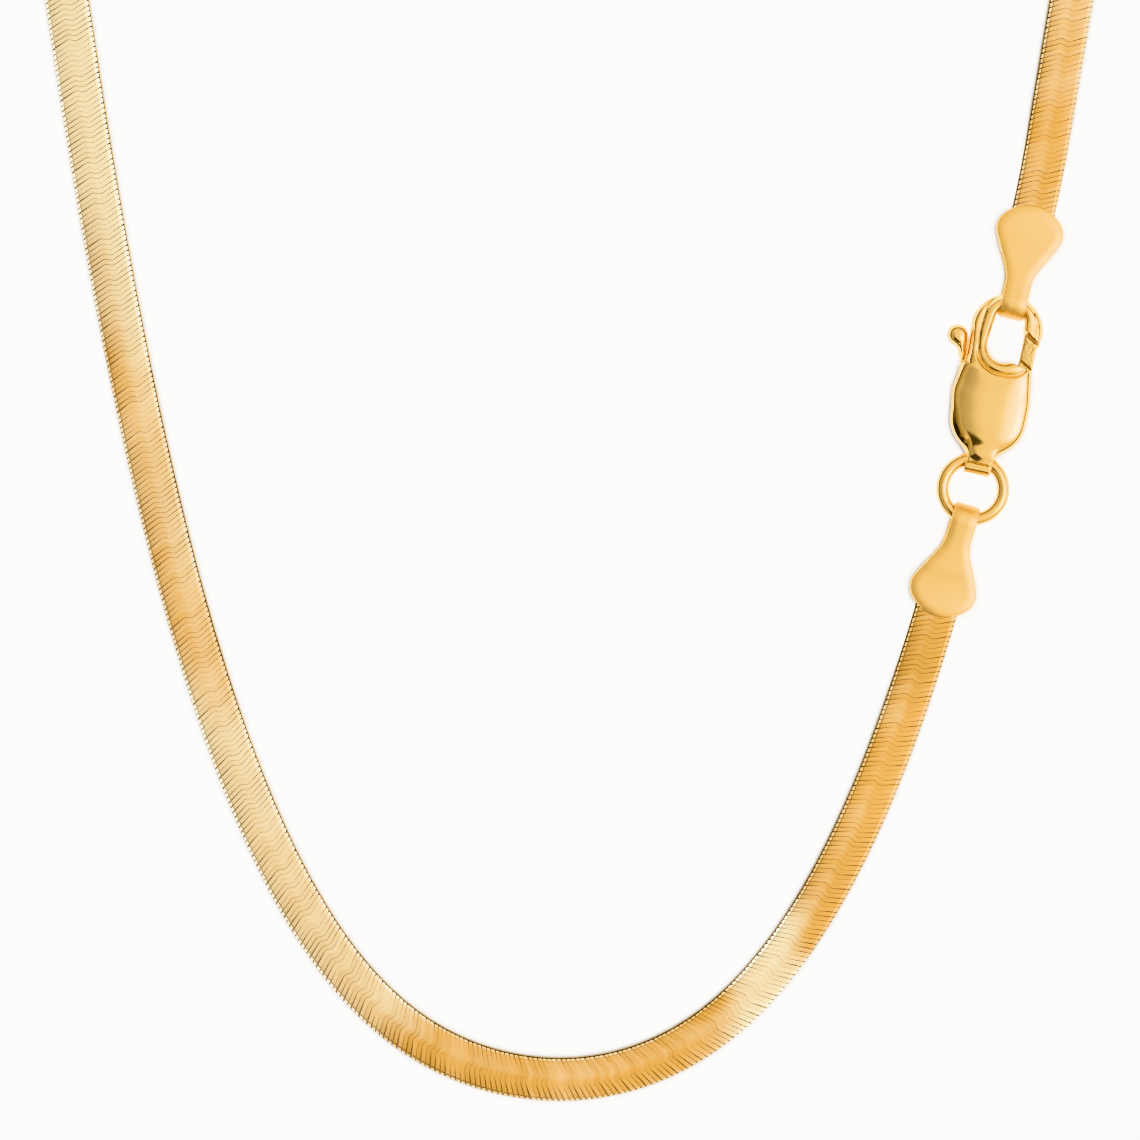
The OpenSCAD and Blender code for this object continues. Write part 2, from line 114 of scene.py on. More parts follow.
def meet(a: Array, b: Array, radius: float) -> Array:
    """Common part of two forms, its outer edge rounded.

    Args:
        a: Distance from one form.
        b: Distance from the other.
        radius: Radius of the rounded edge.

    Returns:
        Distance from the common part.
    """
    round_part = np.hypot(np.maximum(a + radius, 0), np.maximum(b + radius, 0)) - radius
    return np.where((a > -radius) & (b > -radius), round_part, np.maximum(a, b))


def join(a: Array, b: Array, radius: float) -> Array:
    """Both forms together, a soft fillet in the corner between them."""
    blend = np.clip(0.5 + 0.5 * (b - a) / radius, 0, 1)
    return b * (1 - blend) + a * blend - radius * blend * (1 - blend)


def cushion(plan: Array, rise: Array, height: Array, margin: Array) -> Array:
    """Distance from a form that falls off towards its outline like a cushion.

    Args:
        plan: Distance from the outline, negative inside.
        rise: Height above where it starts to fall off, below 0 under it.
        height: How far it stands above that where it is full.
        margin: Width over which it falls off.

    Returns:
        The signed distances.
    """
    across = np.maximum(margin + plan, 1e-3) / margin
    up = np.maximum(rise, 1e-3) / height
    power = 2.3
    share = (across**power + up**power) ** (1 / power)
    slope = np.hypot(across ** (power - 1) / margin, up ** (power - 1) / height) * share ** (1 - power)
    return (share - 1) / slope


def bell(x: Array, middle: float, width: float) -> Array:
    """Smooth bump of height 1."""
    return np.exp(-(((x - middle) / width) ** 2))


def bell_at(x: float, middle: float, width: float) -> float:
    """The same bump for one number."""
    return math.exp(-(((x - middle) / width) ** 2))


def ease(x: Array, start: float, end: float) -> Array:
    """Smooth step from 0 at start to 1 at end."""
    share = np.clip((x - start) / (end - start), 0, 1)
    return share * share * (3 - 2 * share)


def arc(centre: Point, radius: float, start: float, end: float, count: int) -> list[Point]:
    """Points along a part of a circle.

    Args:
        centre: The circle's centre.
        radius: Its radius.
        start: Angle of the first point, in radians.
        end: Angle of the last point.
        count: Number of steps between them.

    Returns:
        The points in order.
    """
    angles = (start + (end - start) * i / count for i in range(count + 1))
    return [(centre[0] + radius * math.cos(a), centre[1] + radius * math.sin(a)) for a in angles]


# ------------------------------------------------------------------ meshes


def settle(form: Field, points: Array, step: float) -> Array:
    """Moves points that lie near a form's surface onto it, in a few short moves.

    Args:
        form: Signed distance in millimetres.
        points: The points.
        step: Size of the mesh's faces.

    Returns:
        The points on the surface.
    """
    reach, rounds, least_steep, longest = 0.02, 4, 0.25, 0.4 * step
    for _ in range(rounds):
        here = form(*points.T)
        shifts = np.eye(3) * reach
        slope = np.array([form(*(points + s).T) - form(*(points - s).T) for s in shifts]).T / (2 * reach)
        steep = np.maximum((slope**2).sum(1), least_steep)
        move = -(here / steep)[:, None] * slope
        length = np.maximum(np.linalg.norm(move, axis=1), 1e-9)
        points = points + move * np.minimum(1, longest / length)[:, None]
    return points


def skin(
    form: Field, low: Sequence[float], high: Sequence[float], step: float
) -> tuple[Array, Array]:
    """Wraps a form in a closed mesh of quads.

    Args:
        form: Signed distance in millimetres, negative inside the metal.
        low: Lowest corner of the room that the form fills.
        high: Highest corner of that room.
        step: Size of the mesh's faces.

    Returns:
        The vertices and the quads as arrays.
    """
    axes = [np.arange(a - 2 * step, b + 3 * step, step) for a, b in zip(low, high)]
    x, y, z = np.meshgrid(*axes, indexing="ij", sparse=True)
    size = tuple(len(a) for a in axes)
    value = np.broadcast_to(form(x, y, z), size)
    cells = tuple(n - 1 for n in size)
    total = np.zeros((*cells, 3))
    count = np.zeros(cells)
    rings = []
    for axis in range(3):
        first = value[tuple(slice(0, -1) if a == axis else slice(None) for a in range(3))]
        last = value[tuple(slice(1, None) if a == axis else slice(None) for a in range(3))]
        at = np.array(np.nonzero((first < 0) != (last < 0))).T
        start, end = first[tuple(at.T)], last[tuple(at.T)]
        place = at.astype(float)
        place[:, axis] += start / (start - end)
        side, up = (axis + 1) % 3, (axis + 2) % 3
        around = []
        for back_side, back_up in ((1, 1), (0, 1), (0, 0), (1, 0)):
            cell = at.copy()
            cell[:, side] -= back_side
            cell[:, up] -= back_up
            np.add.at(total, tuple(cell.T), place)
            np.add.at(count, tuple(cell.T), 1)
            around.append(np.ravel_multi_index(tuple(cell.T), cells))
        ring = np.array(around).T
        rings.append(np.where((start < 0)[:, None], ring, ring[:, ::-1]))
    used = np.flatnonzero(count.ravel())
    number = np.full(count.size, -1)
    number[used] = np.arange(len(used))
    points = total.reshape(-1, 3)[used] / count.ravel()[used, None]
    points = points * step + np.array([a[0] for a in axes])
    return settle(form, points, step), number[np.concatenate(rings)]


def place(name: str, data: bpy.types.ID) -> bpy.types.Object:
    """Makes an object and links it to the scene.

    Args:
        name: Its name.
        data: Its mesh, light or camera.

    Returns:
        The new object.
    """
    item = bpy.data.objects.new(name, data)
    bpy.context.scene.collection.objects.link(item)
    return item


def mark(mesh: bpy.types.Mesh, values: dict[str, Sequence[float]]) -> None:
    """Stores named numbers on a mesh's points."""
    for name, data in values.items():
        mesh.attributes.new(name, "FLOAT", "POINT").data.foreach_set("value", data)


def new_piece(name: str, points: Array, faces: Sequence, smooth: bool = True) -> bpy.types.Object:
    """Makes a mesh object from points in metres.

    Args:
        name: Name of the piece.
        points: Its vertices.
        faces: Its faces as lists of vertex numbers.
        smooth: Whether it is shaded smooth.

    Returns:
        The new object, linked to the scene.
    """
    mesh = bpy.data.meshes.new(name)
    mesh.from_pydata(points.tolist(), [], faces.tolist() if isinstance(faces, Array) else faces)
    mesh.validate()
    mesh.polygons.foreach_set("use_smooth", [smooth] * len(mesh.polygons))
    return place(name, mesh)


# ------------------------------------------------------------------- route


@dataclass(frozen=True)
class Spot:
    """A place in plan where a piece lies, with the tilt of its own +Y."""

    x: float
    y: float
    tilt: float

    def stand(self, points: Array) -> Array:
        """Moves a piece's own points to where it lies.

        Args:
            points: Points in the piece's own frame, in millimetres.

        Returns:
            The points in the row's frame, in metres.
        """
        c, s = math.cos(math.radians(self.tilt)), math.sin(math.radians(self.tilt))
        x = self.x + points[:, 0] * c + points[:, 1] * s
        y = self.y - points[:, 0] * s + points[:, 1] * c
        return np.stack([x, y, points[:, 2]], 1) * MM


@dataclass(frozen=True)
class Route:
    """The line that the closed necklace lies along, by the same rule as its solids."""

    necklace_length: float = 457.0
    plain_front_r: float = 21.0
    plain_ease: float = 17.0
    plain_sharpness: float = 6.0
    plain_arm: float = 100.0
    ring_front_r: float = 20.0
    ring_ease: float = 16.75
    ring_sharpness: float = 4.0
    ring_arm: float = 52.0
    arm_spacing: float = 2.0
    settle_length: float = 9.0
    band_t: float = 1.1
    held_z: float = 0.93
    tab_length: float = 9.45
    tab_grip: float = 3.5
    ring_to_fold: float = 1.28953
    ring_to_bore: float = 2.35902
    eye_to_fold: float = 11.7551
    eye_shift: float = 0.08
    clasp_tilt: float = 12.0
    hook_tab_tilt: float = 12.7
    hook_arm_tilt: float = 9.6
    hook_bend: float = 6.0
    hook_bend_count: int = 6
    settle_count: int = 4
    back_count: int = 52

    def arm(self, length: float, radius: float, easing: float, sharpness: float) -> Array:
        """Stations along one arm, from the front outwards.

        Args:
            length: Length of the arm.
            radius: Radius of the front bend.
            easing: Distance at which the bend eases off.
            sharpness: How quickly it does.

        Returns:
            One row of x, y and angle in degrees for each station.
        """
        count = math.ceil(length / self.arm_spacing)
        d = length / count
        rows = [(0.0, 0.0, 0.0)]
        for i in range(count):
            x, y, angle = rows[-1]
            rate = math.degrees(1 / radius) / (1 + ((i + 0.5) * d / easing) ** sharpness) ** (2 / sharpness)
            middle = math.radians(angle + d * rate / 2)
            rows.append((x + d * math.cos(middle), y + d * math.sin(middle), angle + d * rate))
        return np.array(rows)

    @staticmethod
    def heading(angle: float) -> Array:
        """Direction in plan at an angle from +X."""
        return np.array([math.cos(math.radians(angle)), math.sin(math.radians(angle))])

    @staticmethod
    def towards(tilt: float) -> Array:
        """Direction in plan at a tilt from +Y."""
        return np.array([math.sin(math.radians(tilt)), math.cos(math.radians(tilt))])

    def places(self) -> dict:
        """Works out where every linked piece lies.

        Returns:
            The named spots, and the stations of the whole route.
        """
        ring_side = self.arm(self.ring_arm, self.ring_front_r, self.ring_ease, self.ring_sharpness)
        plain_side = self.arm(self.plain_arm, self.plain_front_r, self.plain_ease, self.plain_sharpness)
        ring_tilt = 90 - ring_side[-1, 2]
        ring_mouth = ring_side[-1, :2]
        ring_fold = ring_mouth + self.tab_length * self.towards(ring_tilt)
        ring = ring_fold + self.ring_to_fold * self.towards(ring_tilt)
        clasp = ring + self.ring_to_bore * self.towards(self.clasp_tilt)
        hook_fold = clasp + self.eye_to_fold * self.towards(self.clasp_tilt)
        hook_fold = hook_fold + self.eye_shift * self.towards(self.clasp_tilt + 90)
        hook_mouth = hook_fold + self.tab_length * self.towards(self.hook_tab_tilt)
        hook_rows = [(*hook_mouth, self.hook_tab_tilt)]
        for _ in range(self.hook_bend_count):
            x, y, tilt = hook_rows[-1]
            turn = (self.hook_arm_tilt - self.hook_tab_tilt) / self.hook_bend_count
            step = self.hook_bend / self.hook_bend_count * self.towards(tilt + turn / 2)
            hook_rows.append((x + step[0], y + step[1], tilt + turn))
        plain_tilt = 90 - plain_side[-1, 2]
        plain_end = np.array([-plain_side[-1, 0], plain_side[-1, 1]])
        hook_end = np.array(hook_rows[-1][:2])
        to_apex = plain_end - hook_end
        left, right = self.towards(-plain_tilt), self.towards(self.hook_arm_tilt)
        cross = left[0] * right[1] - left[1] * right[0]
        plain_to_apex = (to_apex[0] * right[1] - to_apex[1] * right[0]) / cross
        hook_to_apex = (to_apex[0] * left[1] - to_apex[1] * left[0]) / cross
        spread = (plain_tilt + self.hook_arm_tilt) / 2
        linked = 2 * self.tab_length + self.ring_to_fold + self.ring_to_bore + self.eye_to_fold
        back = self.necklace_length - self.ring_arm - linked - self.hook_bend - self.plain_arm
        flat = 1 / math.tan(math.radians(spread))
        back_r = (back + plain_to_apex + hook_to_apex) / (2 * flat + math.pi * (1 + spread / 90))
        straight = back_r * flat - plain_to_apex
        centre = plain_end + straight * left + back_r * self.towards(90 - plain_tilt)
        origin = np.array([centre[0], (centre[1] + back_r) / 2])

        far = 1000.0
        inside_ring = ring_mouth + self.tab_grip * self.towards(ring_tilt)
        inside_hook = hook_mouth - self.tab_grip * self.towards(self.hook_tab_tilt)
        n_ring, n_plain = len(ring_side) - 1, len(plain_side) - 1
        rows = [(*inside_ring, ring_side[-1, 2] + 180, -self.tab_grip)]
        for i in range(n_ring, -1, -1):
            x, y, angle = ring_side[i]
            rows.append((x, y, angle + 180, self.ring_arm * (1 - i / n_ring)))
        for i in range(1, n_plain + 1):
            x, y, angle = plain_side[i]
            rows.append((-x, y, 180 - angle, far))
        for i in range(self.back_count + 1):
            a = 180 + plain_tilt - (180 + plain_tilt + self.hook_arm_tilt) * i / self.back_count
            rows.append((*(centre + back_r * self.heading(a)), a - 90, far))
        run = self.settle_length - self.hook_bend
        for i in range(self.settle_count, 0, -1):
            off = run * i / self.settle_count
            rows.append((*(hook_end + off * right), -90 - self.hook_arm_tilt, self.hook_bend + off))
        for i in range(self.hook_bend_count, -1, -1):
            x, y, tilt = hook_rows[i]
            rows.append((x, y, -90 - tilt, i * self.hook_bend / self.hook_bend_count))
        rows.append((*inside_hook, -90 - self.hook_tab_tilt, -self.tab_grip))
        stations = np.array(rows)
        stations[:, :2] -= origin
        spots = {
            "ring": Spot(*(ring - origin), 0.0),
            "ring_tab": Spot(*(ring_fold - origin), ring_tilt + 180),
            "clasp": Spot(*(clasp - origin), self.clasp_tilt),
            "hook_tab": Spot(*(hook_fold - origin), self.hook_tab_tilt),
        }
        return {"spots": spots, "stations": stations}

    def fine_line(self, spacing: float) -> Array:
        """Smooth line through the stations.

        Args:
            spacing: Distance between its points.

        Returns:
            One row of x, y, z and distance along the line for each point.
        """
        stations = self.places()["stations"]
        rows = []
        along = 0.0
        for a, b in zip(stations[:-1], stations[1:]):
            chord = float(np.hypot(*(b[:2] - a[:2])))
            turn = math.radians((b[2] - a[2] + 180) % 360 - 180)
            length = chord * (turn / 2 / math.sin(turn / 2) if abs(turn) > 1e-6 else 1.0)
            t = np.arange(0, 1, spacing / length)[:, None]
            ta, tb = (length * self.heading(row[2]) for row in (a, b))
            spot = (
                (2 * t**3 - 3 * t**2 + 1) * a[:2]
                + (t**3 - 2 * t**2 + t) * ta
                + (3 * t**2 - 2 * t**3) * b[:2]
                + (t**3 - t**2) * tb
            )
            off = a[3] + (b[3] - a[3]) * t[:, 0]
            rest = self.band_t / 2
            settled = (1 - np.cos(np.pi * np.clip(off / self.settle_length, 0, 1))) / 2
            z = self.held_z + (rest - self.held_z) * settled
            rows.append(np.column_stack([spot, z, along + t[:, 0] * length]))
            along += length
        return np.concatenate(rows)


# ---------------------------------------------------------------- finishes


class Wiring:
    """Adds nodes to a tree and joins them in one call each."""

    def __init__(self, tree: bpy.types.NodeTree) -> None:
        """Starts with an empty tree."""
        self.tree = tree
        tree.nodes.clear()

    def add(self, kind: str, inputs: dict | None = None, **settings: object) -> bpy.types.Node:
        """Adds a node.

        Args:
            kind: The node's type.
            inputs: What goes into its inputs: a value, or a socket to join.
            settings: Properties of the node.

        Returns:
            The new node.
        """
        node = self.tree.nodes.new(kind)
        for name, value in settings.items():
            setattr(node, name, value)
        for key, value in (inputs or {}).items():
            if isinstance(value, Socket):
                self.tree.links.new(value, node.inputs[key])
            else:
                node.inputs[key].default_value = value
        return node

    def out(self, kind: str, inputs: dict | None = None, **settings: object) -> Socket:
        """Adds a node and gives its first output."""
        return self.add(kind, inputs, **settings).outputs[0]

    def math(self, operation: str, *values: object, clamp: bool = False) -> Socket:
        """Adds a Math node and gives its result."""
        return self.out("ShaderNodeMath", dict(enumerate(values)), operation=operation, use_clamp=clamp)

    def mix(self, share: object, first: object, second: object) -> Socket:
        """Adds a colour mix and gives its result."""
        pair = [(*c, 1.0) if isinstance(c, tuple) else c for c in (first, second)]
        return self.add("ShaderNodeMix", {0: share, 6: pair[0], 7: pair[1]}, data_type="RGBA").outputs[2]

    def noise(self, where: Socket, size: float, detail: float = 2.0) -> Socket:
        """Adds noise whose spots are about the given size in metres."""
        settings = {"Vector": where, "Scale": 1 / size, "Detail": detail, "Roughness": 0.55}
        return self.add("ShaderNodeTexNoise", settings).outputs["Fac"]

    def told(self, name: str) -> Socket:
        """Reads a number that the mesh carries, for a material."""
        return self.add("ShaderNodeAttribute", attribute_name=name).outputs["Fac"]

    def stored(self, name: str) -> Socket:
        """Reads a number that the line carries, for geometry."""
        return self.out("GeometryNodeInputNamedAttribute", {"Name": name}, data_type="FLOAT")

    def chance(self, seed: Socket, low: float, high: float) -> Socket:
        """Draws a number between two limits for each link."""
        limits = {"Seed": seed, 2: low, 3: high}
        return self.add("FunctionNodeRandomValue", limits, data_type="FLOAT").outputs[1]

    def gather(self, *parts: Socket) -> Socket:
        """Joins pieces of geometry in the order given.

        Args:
            parts: Their sockets.

        Returns:
            Socket with all of them.
        """
        joined = self.add("GeometryNodeJoinGeometry")
        for part in parts:
            self.tree.links.new(part, joined.inputs[0])
        return joined.outputs[0]


@dataclass(frozen=True)
class Gold:
    """A gold finish: its colours, how rough it is and how deep its grain goes.

    The constants hold what all finishes share, and what only the links add: the painted highlight on their
    rims, the painted shade at the chain's outer edges, and how strongly mottling, the painted highlight and
    shade beside each link's crest and a link's own tint show.
    """

    CLOUD_SIZE: ClassVar[float] = 0.006
    SWELL_SIZE: ClassVar[float] = 0.0022
    SWELL_DEPTH: ClassVar[float] = 6.0
    # Painted highlight on the link ends, from dim amber to near-white.
    RIM_HIGHLIGHT: ClassVar[tuple[Colour, Colour]] = ((0.40, 0.25, 0.09), (0.98, 0.92, 0.74))
    RIM_SHARE: ClassVar[float] = 0.85
    RIM_GLOSS: ClassVar[float] = 0.7
    # Painted shade for the outermost tips of the links along the chain's edges.
    EDGE_SHADE: ClassVar[Colour] = (0.10, 0.065, 0.03)
    MOTTLE: ClassVar[float] = 0.6
    CREST_SHADING: ClassVar[float] = 0.09
    OWN_TINT: ClassVar[float] = 0.06

    name: str
    surface: Surface
    deep: Colour
    pale: Colour
    roughness: float
    roughness_spread: float
    grain_size: float
    grain_depth: float

    def material(self) -> bpy.types.Material:
        """Builds the material, or finds it if it is there already.

        Returns:
            The material.
        """
        made = bpy.data.materials.get(self.name)
        if made is not None:
            return made
        made = bpy.data.materials.new(self.name)
        made.use_nodes = True
        made.diffuse_color = (*self.deep, 1.0)
        wiring = Wiring(made.node_tree)
        where = wiring.add("ShaderNodeTexCoord").outputs["Object"]
        colour, rough, height = self.pattern(wiring, where)
        bump = wiring.out("ShaderNodeBump", {"Height": height, "Distance": self.grain_depth, "Strength": 1.0})
        joined = {"Base Color": colour, "Roughness": rough, "Normal": bump}
        shader = wiring.add("ShaderNodeBsdfPrincipled", joined)
        shader.inputs["Metallic"].default_value = 1.0
        wiring.add("ShaderNodeOutputMaterial", {0: shader.outputs[0]})
        return made

    def pattern(self, wiring: Wiring, where: Socket) -> tuple:
        """Lays out the finish's colour, roughness and grain.

        Args:
            wiring: The material's tree.
            where: Place on the piece.

        Returns:
            Sockets for colour, roughness and height.
        """
        cloud = wiring.noise(where, self.CLOUD_SIZE, 3.0)
        height = wiring.noise(where, self.grain_size, 4.0)
        rough = wiring.math("MULTIPLY_ADD", cloud, self.roughness_spread, self.roughness)
        if self.surface is Surface.LINKS:
            tint = self.chain_tint(wiring, cloud)
            # The link ends are painted towards near-white as a painted highlight on the chain's rims, dimmer
            # where the chain is painted deep; they are glossier too.
            rim = wiring.told("rim")
            rough = wiring.math("MULTIPLY_ADD", rim, -self.RIM_GLOSS * self.roughness, rough)
            colour, shine = wiring.mix(tint, self.deep, self.pale), wiring.mix(tint, *self.RIM_HIGHLIGHT)
            colour = wiring.mix(wiring.math("MULTIPLY", rim, self.RIM_SHARE), colour, shine)
            # Painted shade is mixed in last at the chain's edges.
            return wiring.mix(wiring.told("seam"), colour, self.EDGE_SHADE), rough, height
        if self.surface is Surface.CAST:
            pits = wiring.add("ShaderNodeTexVoronoi", {"Vector": where, "Scale": 1 / self.grain_size})
            height = wiring.math("ADD", height, pits.outputs["Distance"])
        elif self.surface is Surface.POLISHED:
            swell = wiring.noise(where, self.SWELL_SIZE, 1.0)
            height = wiring.math("MULTIPLY_ADD", swell, self.SWELL_DEPTH, height)
        tint = wiring.math("MULTIPLY_ADD", cloud, 1.6, -0.3, clamp=True)
        return wiring.mix(tint, self.deep, self.pale), rough, height

    def chain_tint(self, wiring: Wiring, cloud: Socket) -> Socket:
        """Gives each link its own tint, with painted sheen that makes some stretches of the chain paler
        and painted highlight and shade beside each link's crest.

        Args:
            wiring: The material's tree.
            cloud: Soft mottling.

        Returns:
            Socket with 0 for the deepest and 1 for the palest gold.
        """
        # Painted sheen sets how pale each stretch is painted, slanted across the chain where it changes.
        sheen_slant, across, lustre = (wiring.told(name) for name in ("sheen_slant", "across", "lustre"))
        slant = wiring.math("MULTIPLY_ADD", sheen_slant, across, lustre)
        centred = wiring.math("SUBTRACT", slant, self.MOTTLE / 2)
        mottled = wiring.math("MULTIPLY_ADD", cloud, self.MOTTLE, centred)
        # Painted highlight and shade beside each link's crest.
        crest_shaded = wiring.math("MULTIPLY_ADD", wiring.told("painted_crest_shading"), self.CREST_SHADING, mottled)
        return wiring.math("MULTIPLY_ADD", wiring.told("own_tint"), self.OWN_TINT, crest_shaded, clamp=True)


class Finishes(Enum):
    """The finishes of this necklace."""

    # The links blend from deep to pale gold by mottling and their own tint, and mostly by painted sheen.
    LINK = Gold(
        "flattened_links", Surface.LINKS, (0.65, 0.39, 0.122), (0.94, 0.86, 0.65), 0.24, 0.12, 0.00009, 3e-6
    )
    # A dim, greyish gold: painted shade in the gaps between links and in the dark strip along one edge of the
    # chain.
    CORE = Gold(
        "chain_core_painted_shade", Surface.CAST, (0.46, 0.35, 0.19), (0.56, 0.44, 0.25), 0.5, 0.1, 0.0002, 2e-6
    )
    SHEET = Gold(
        "satin_sheet", Surface.SATIN, (0.91, 0.615, 0.225), (0.94, 0.66, 0.265), 0.42, 0.06, 0.00007, 2.5e-6
    )
    BRIGHT = Gold(
        "mirror_gold", Surface.POLISHED, (0.83, 0.565, 0.21), (0.92, 0.67, 0.295), 0.08, 0.06, 0.00012, 1.2e-6
    )
    GATE = Gold(
        "cast_gate", Surface.CAST, (0.46, 0.33, 0.125), (0.68, 0.50, 0.23), 0.22, 0.18, 0.00022, 3e-5
    )


def dress(piece: bpy.types.Object, finish: Finishes) -> None:
    """Gives a piece its finish.

    Args:
        piece: The piece.
        finish: Its finish.
    """
    piece.data.materials.clear()
    piece.data.materials.append(finish.value.material())


# ------------------------------------------------------------------- chain


@dataclass(frozen=True)
class PaintedSheen:
    """A stretch of the chain with painted sheen, paler than the rest, in millimetres along it."""

    at: float
    spread: float
    strength: float


@dataclass
class Chain:
    """The flat chain: every link, and the dense core that they hide.

    Links part towards the chain's edges. A parting says from which share of the half width, by how much at
    most, and how deep the notch at the edge is, the last two as shares of half the pitch.
    """

    route: Route
    width: float = 3.5
    thickness: float = 1.1
    pitch: float = 0.42
    edge_width: float = 0.26
    bevel: float = 0.012
    bevel_start: float = 0.93
    middle_bevel: float = 0.65
    fill: float = 0.97
    parted_at: float = 0.9
    wave_slope: float = 0.5
    wave_height: float = 0.295
    wave_width: float = 0.32
    # Where the painted highlight and shade beside a link's crest sit across the link.
    crest_shading_at: float = 0.36
    crest_shading_width: float = 0.3
    inner_parting: tuple[float, float, float] = (0.62, 0.14, 0.1)
    outer_parting: tuple[float, float, float] = (0.58, 0.13, 0.22)
    roll_degrees: float = 1.6
    roll_spacing: float = 7.0
    uneven_degrees: float = 1.0
    fit: tuple[float, float] = (0.93, 1.02)
    dull_widening: float = 0.035
    shine_narrowing: float = 0.05
    line_spacing: float = 0.3
    core_spacing: float = 1.5
    core_width: float = 3.48
    core_height: float = 0.9
    # A thin dark strip along one edge of the chain: a painted shadow line.
    shade_line_width: float = 0.075
    shade_line_height: float = 0.24
    shade_line_out: float = 1.765
    seed: int = 7
    base_painted_sheen: float = 0.08
    # How strongly the painted sheen slants across the chain where it changes, and a slant of its own at the
    # front.
    sheen_slant_gain: float = 4.0
    front_sheen_slant: PaintedSheen = PaintedSheen(128, 24, 0.14)
    # Stretches of painted sheen along the chain, each a pale patch that stands in for a highlight.
    painted_sheens: tuple[PaintedSheen, ...] = (
        PaintedSheen(12, 13, -0.08), PaintedSheen(32.5, 4.6, 0.82), PaintedSheen(74, 8, 0.55), PaintedSheen(90, 9, 0.64),
        PaintedSheen(107, 9, 0.16), PaintedSheen(117, 8, 0.25), PaintedSheen(134, 9, 0.74), PaintedSheen(153, 13, 1.0),
        PaintedSheen(178, 14, 0.5), PaintedSheen(216, 12, 0.3), PaintedSheen(262, 22, 0.6), PaintedSheen(330, 30, 0.5),
        PaintedSheen(398, 14, 0.18),
    )  # fmt: skip
    SOCKETS: ClassVar[dict[str, str]] = {
        "Link": "Object", "Pitch": "Float", "Roll": "Float", "Unevenness": "Float", "Core Width": "Float",
        "Core Height": "Float", "Shade Line Width": "Float", "Shade Line Height": "Float", "Shade Line Out": "Float",
        "Seed": "Int", "Link Gold": "Material", "Core Gold": "Material",
    }  # fmt: skip

    def wave(self, v: float) -> float:
        """How far forward a link reaches at a distance from the chain's middle line."""
        return self.wave_slope * v - self.wave_height * math.erf(v / self.wave_width)

    def link(self) -> bpy.types.Object:
        """Builds one link: a flat bar across the chain, waved in plan and bent down at both ends.

        Returns:
            The link, to be repeated along the chain.
        """
        half, mid = self.width / 2, self.thickness / 2
        edge = half - self.edge_width
        side = [
            (0.2, mid), (0.42, mid), (edge - 0.1, mid), (edge, mid - 0.01), (edge + 0.05, 0.9 * mid),
            (half - 0.05, 0.3 * mid), (half - 0.01, 0.1 * mid),
        ]  # fmt: skip
        stations = [(-v, top) for v, top in reversed(side)] + [(0.0, mid)] + side
        points, values = [], {"across": [], "rim": [], "seam": [], "painted_crest_shading": []}
        n, rows = 6, len(stations)
        for v, top in stations:
            start, most, notch = self.inner_parting if v > 0 else self.outer_parting
            open_up = min(max((abs(v) / half - start) / (self.parted_at - start), 0), 1)
            on_rim = float(abs(v) > edge + 0.01)
            reach = self.pitch / 2 * (self.fill - most * open_up**1.5 - notch * on_rim)
            fall = top - self.bevel * (self.middle_bevel + (1 - self.middle_bevel) * open_up)
            flat = self.bevel_start
            ring = [(-1, fall), (-flat, top), (flat, top), (1, fall), (1, -top), (-1, -top)]
            points += [(v, self.wave(v) + along * reach, z) for along, z in ring]
            # seam is painted shade on the outermost tips of the links, a dark line along the chain's edges.
            seam = 0.9 if abs(v) > half - 0.03 else 0.15 if abs(v) > half - 0.06 else 0.0
            # Painted highlight on one side of the link's crest and painted shade on the other side.
            at, spread = self.crest_shading_at, self.crest_shading_width
            painted_crest_shading = bell_at(v, at, spread) - bell_at(v, -at, spread)
            for name, value in zip(values, (v / half, on_rim, seam, painted_crest_shading)):
                values[name] += [value] * n
        faces = [
            ((i + 1) * n + k, (i + 1) * n + (k + 1) % n, i * n + (k + 1) % n, i * n + k)
            for i in range(rows - 1)
            for k in range(n)
        ]
        faces += [tuple(range(n)), tuple((rows - 1) * n + k for k in reversed(range(n)))]
        piece = new_piece("one_link", np.array(points) * MM, faces)
        mesh = piece.data
        mark(mesh, values)
        ridges = [abs(e.vertices[0] - e.vertices[1]) == n for e in mesh.edges]
        mesh.attributes.new("sharp_edge", "BOOLEAN", "EDGE").data.foreach_set("value", ridges)
        return piece

    def lustre(self, s: Array) -> Array:
        """How strong the painted sheen is at distances along the chain, from 0 to 1."""
        bumps = (b.strength * np.exp(-np.abs((s - b.at) / b.spread) ** 3) for b in self.painted_sheens)
        return np.minimum(self.base_painted_sheen + sum(bumps), 1.0)

    def middle_line(self) -> bpy.types.Object:
        """Makes the line that the links follow, with the painted sheen along it and how it slants across the
        chain.

        Returns:
            An object of points and edges.
        """
        rows = self.route.fine_line(self.line_spacing)
        s = rows[:, 3] - self.route.tab_grip
        pale, front = self.lustre(s), self.front_sheen_slant
        # The painted sheen slants across the chain: one edge is painted paler than the other.
        sheen_slant = np.gradient(pale, s) * self.sheen_slant_gain
        sheen_slant = sheen_slant + front.strength * np.exp(-(((s - front.at) / front.spread) ** 4))
        knots = np.arange(-10, 470, self.roll_spacing)
        roll = np.interp(s, knots, np.random.default_rng(self.seed).uniform(-1, 1, len(knots)))
        mesh = bpy.data.meshes.new("middle_line")
        mesh.from_pydata((rows[:, :3] * MM).tolist(), [(i, i + 1) for i in range(len(rows) - 1)], [])
        mark(mesh, {"lustre": pale, "sheen_slant": sheen_slant, "roll": roll})
        return place("middle_line", mesh)

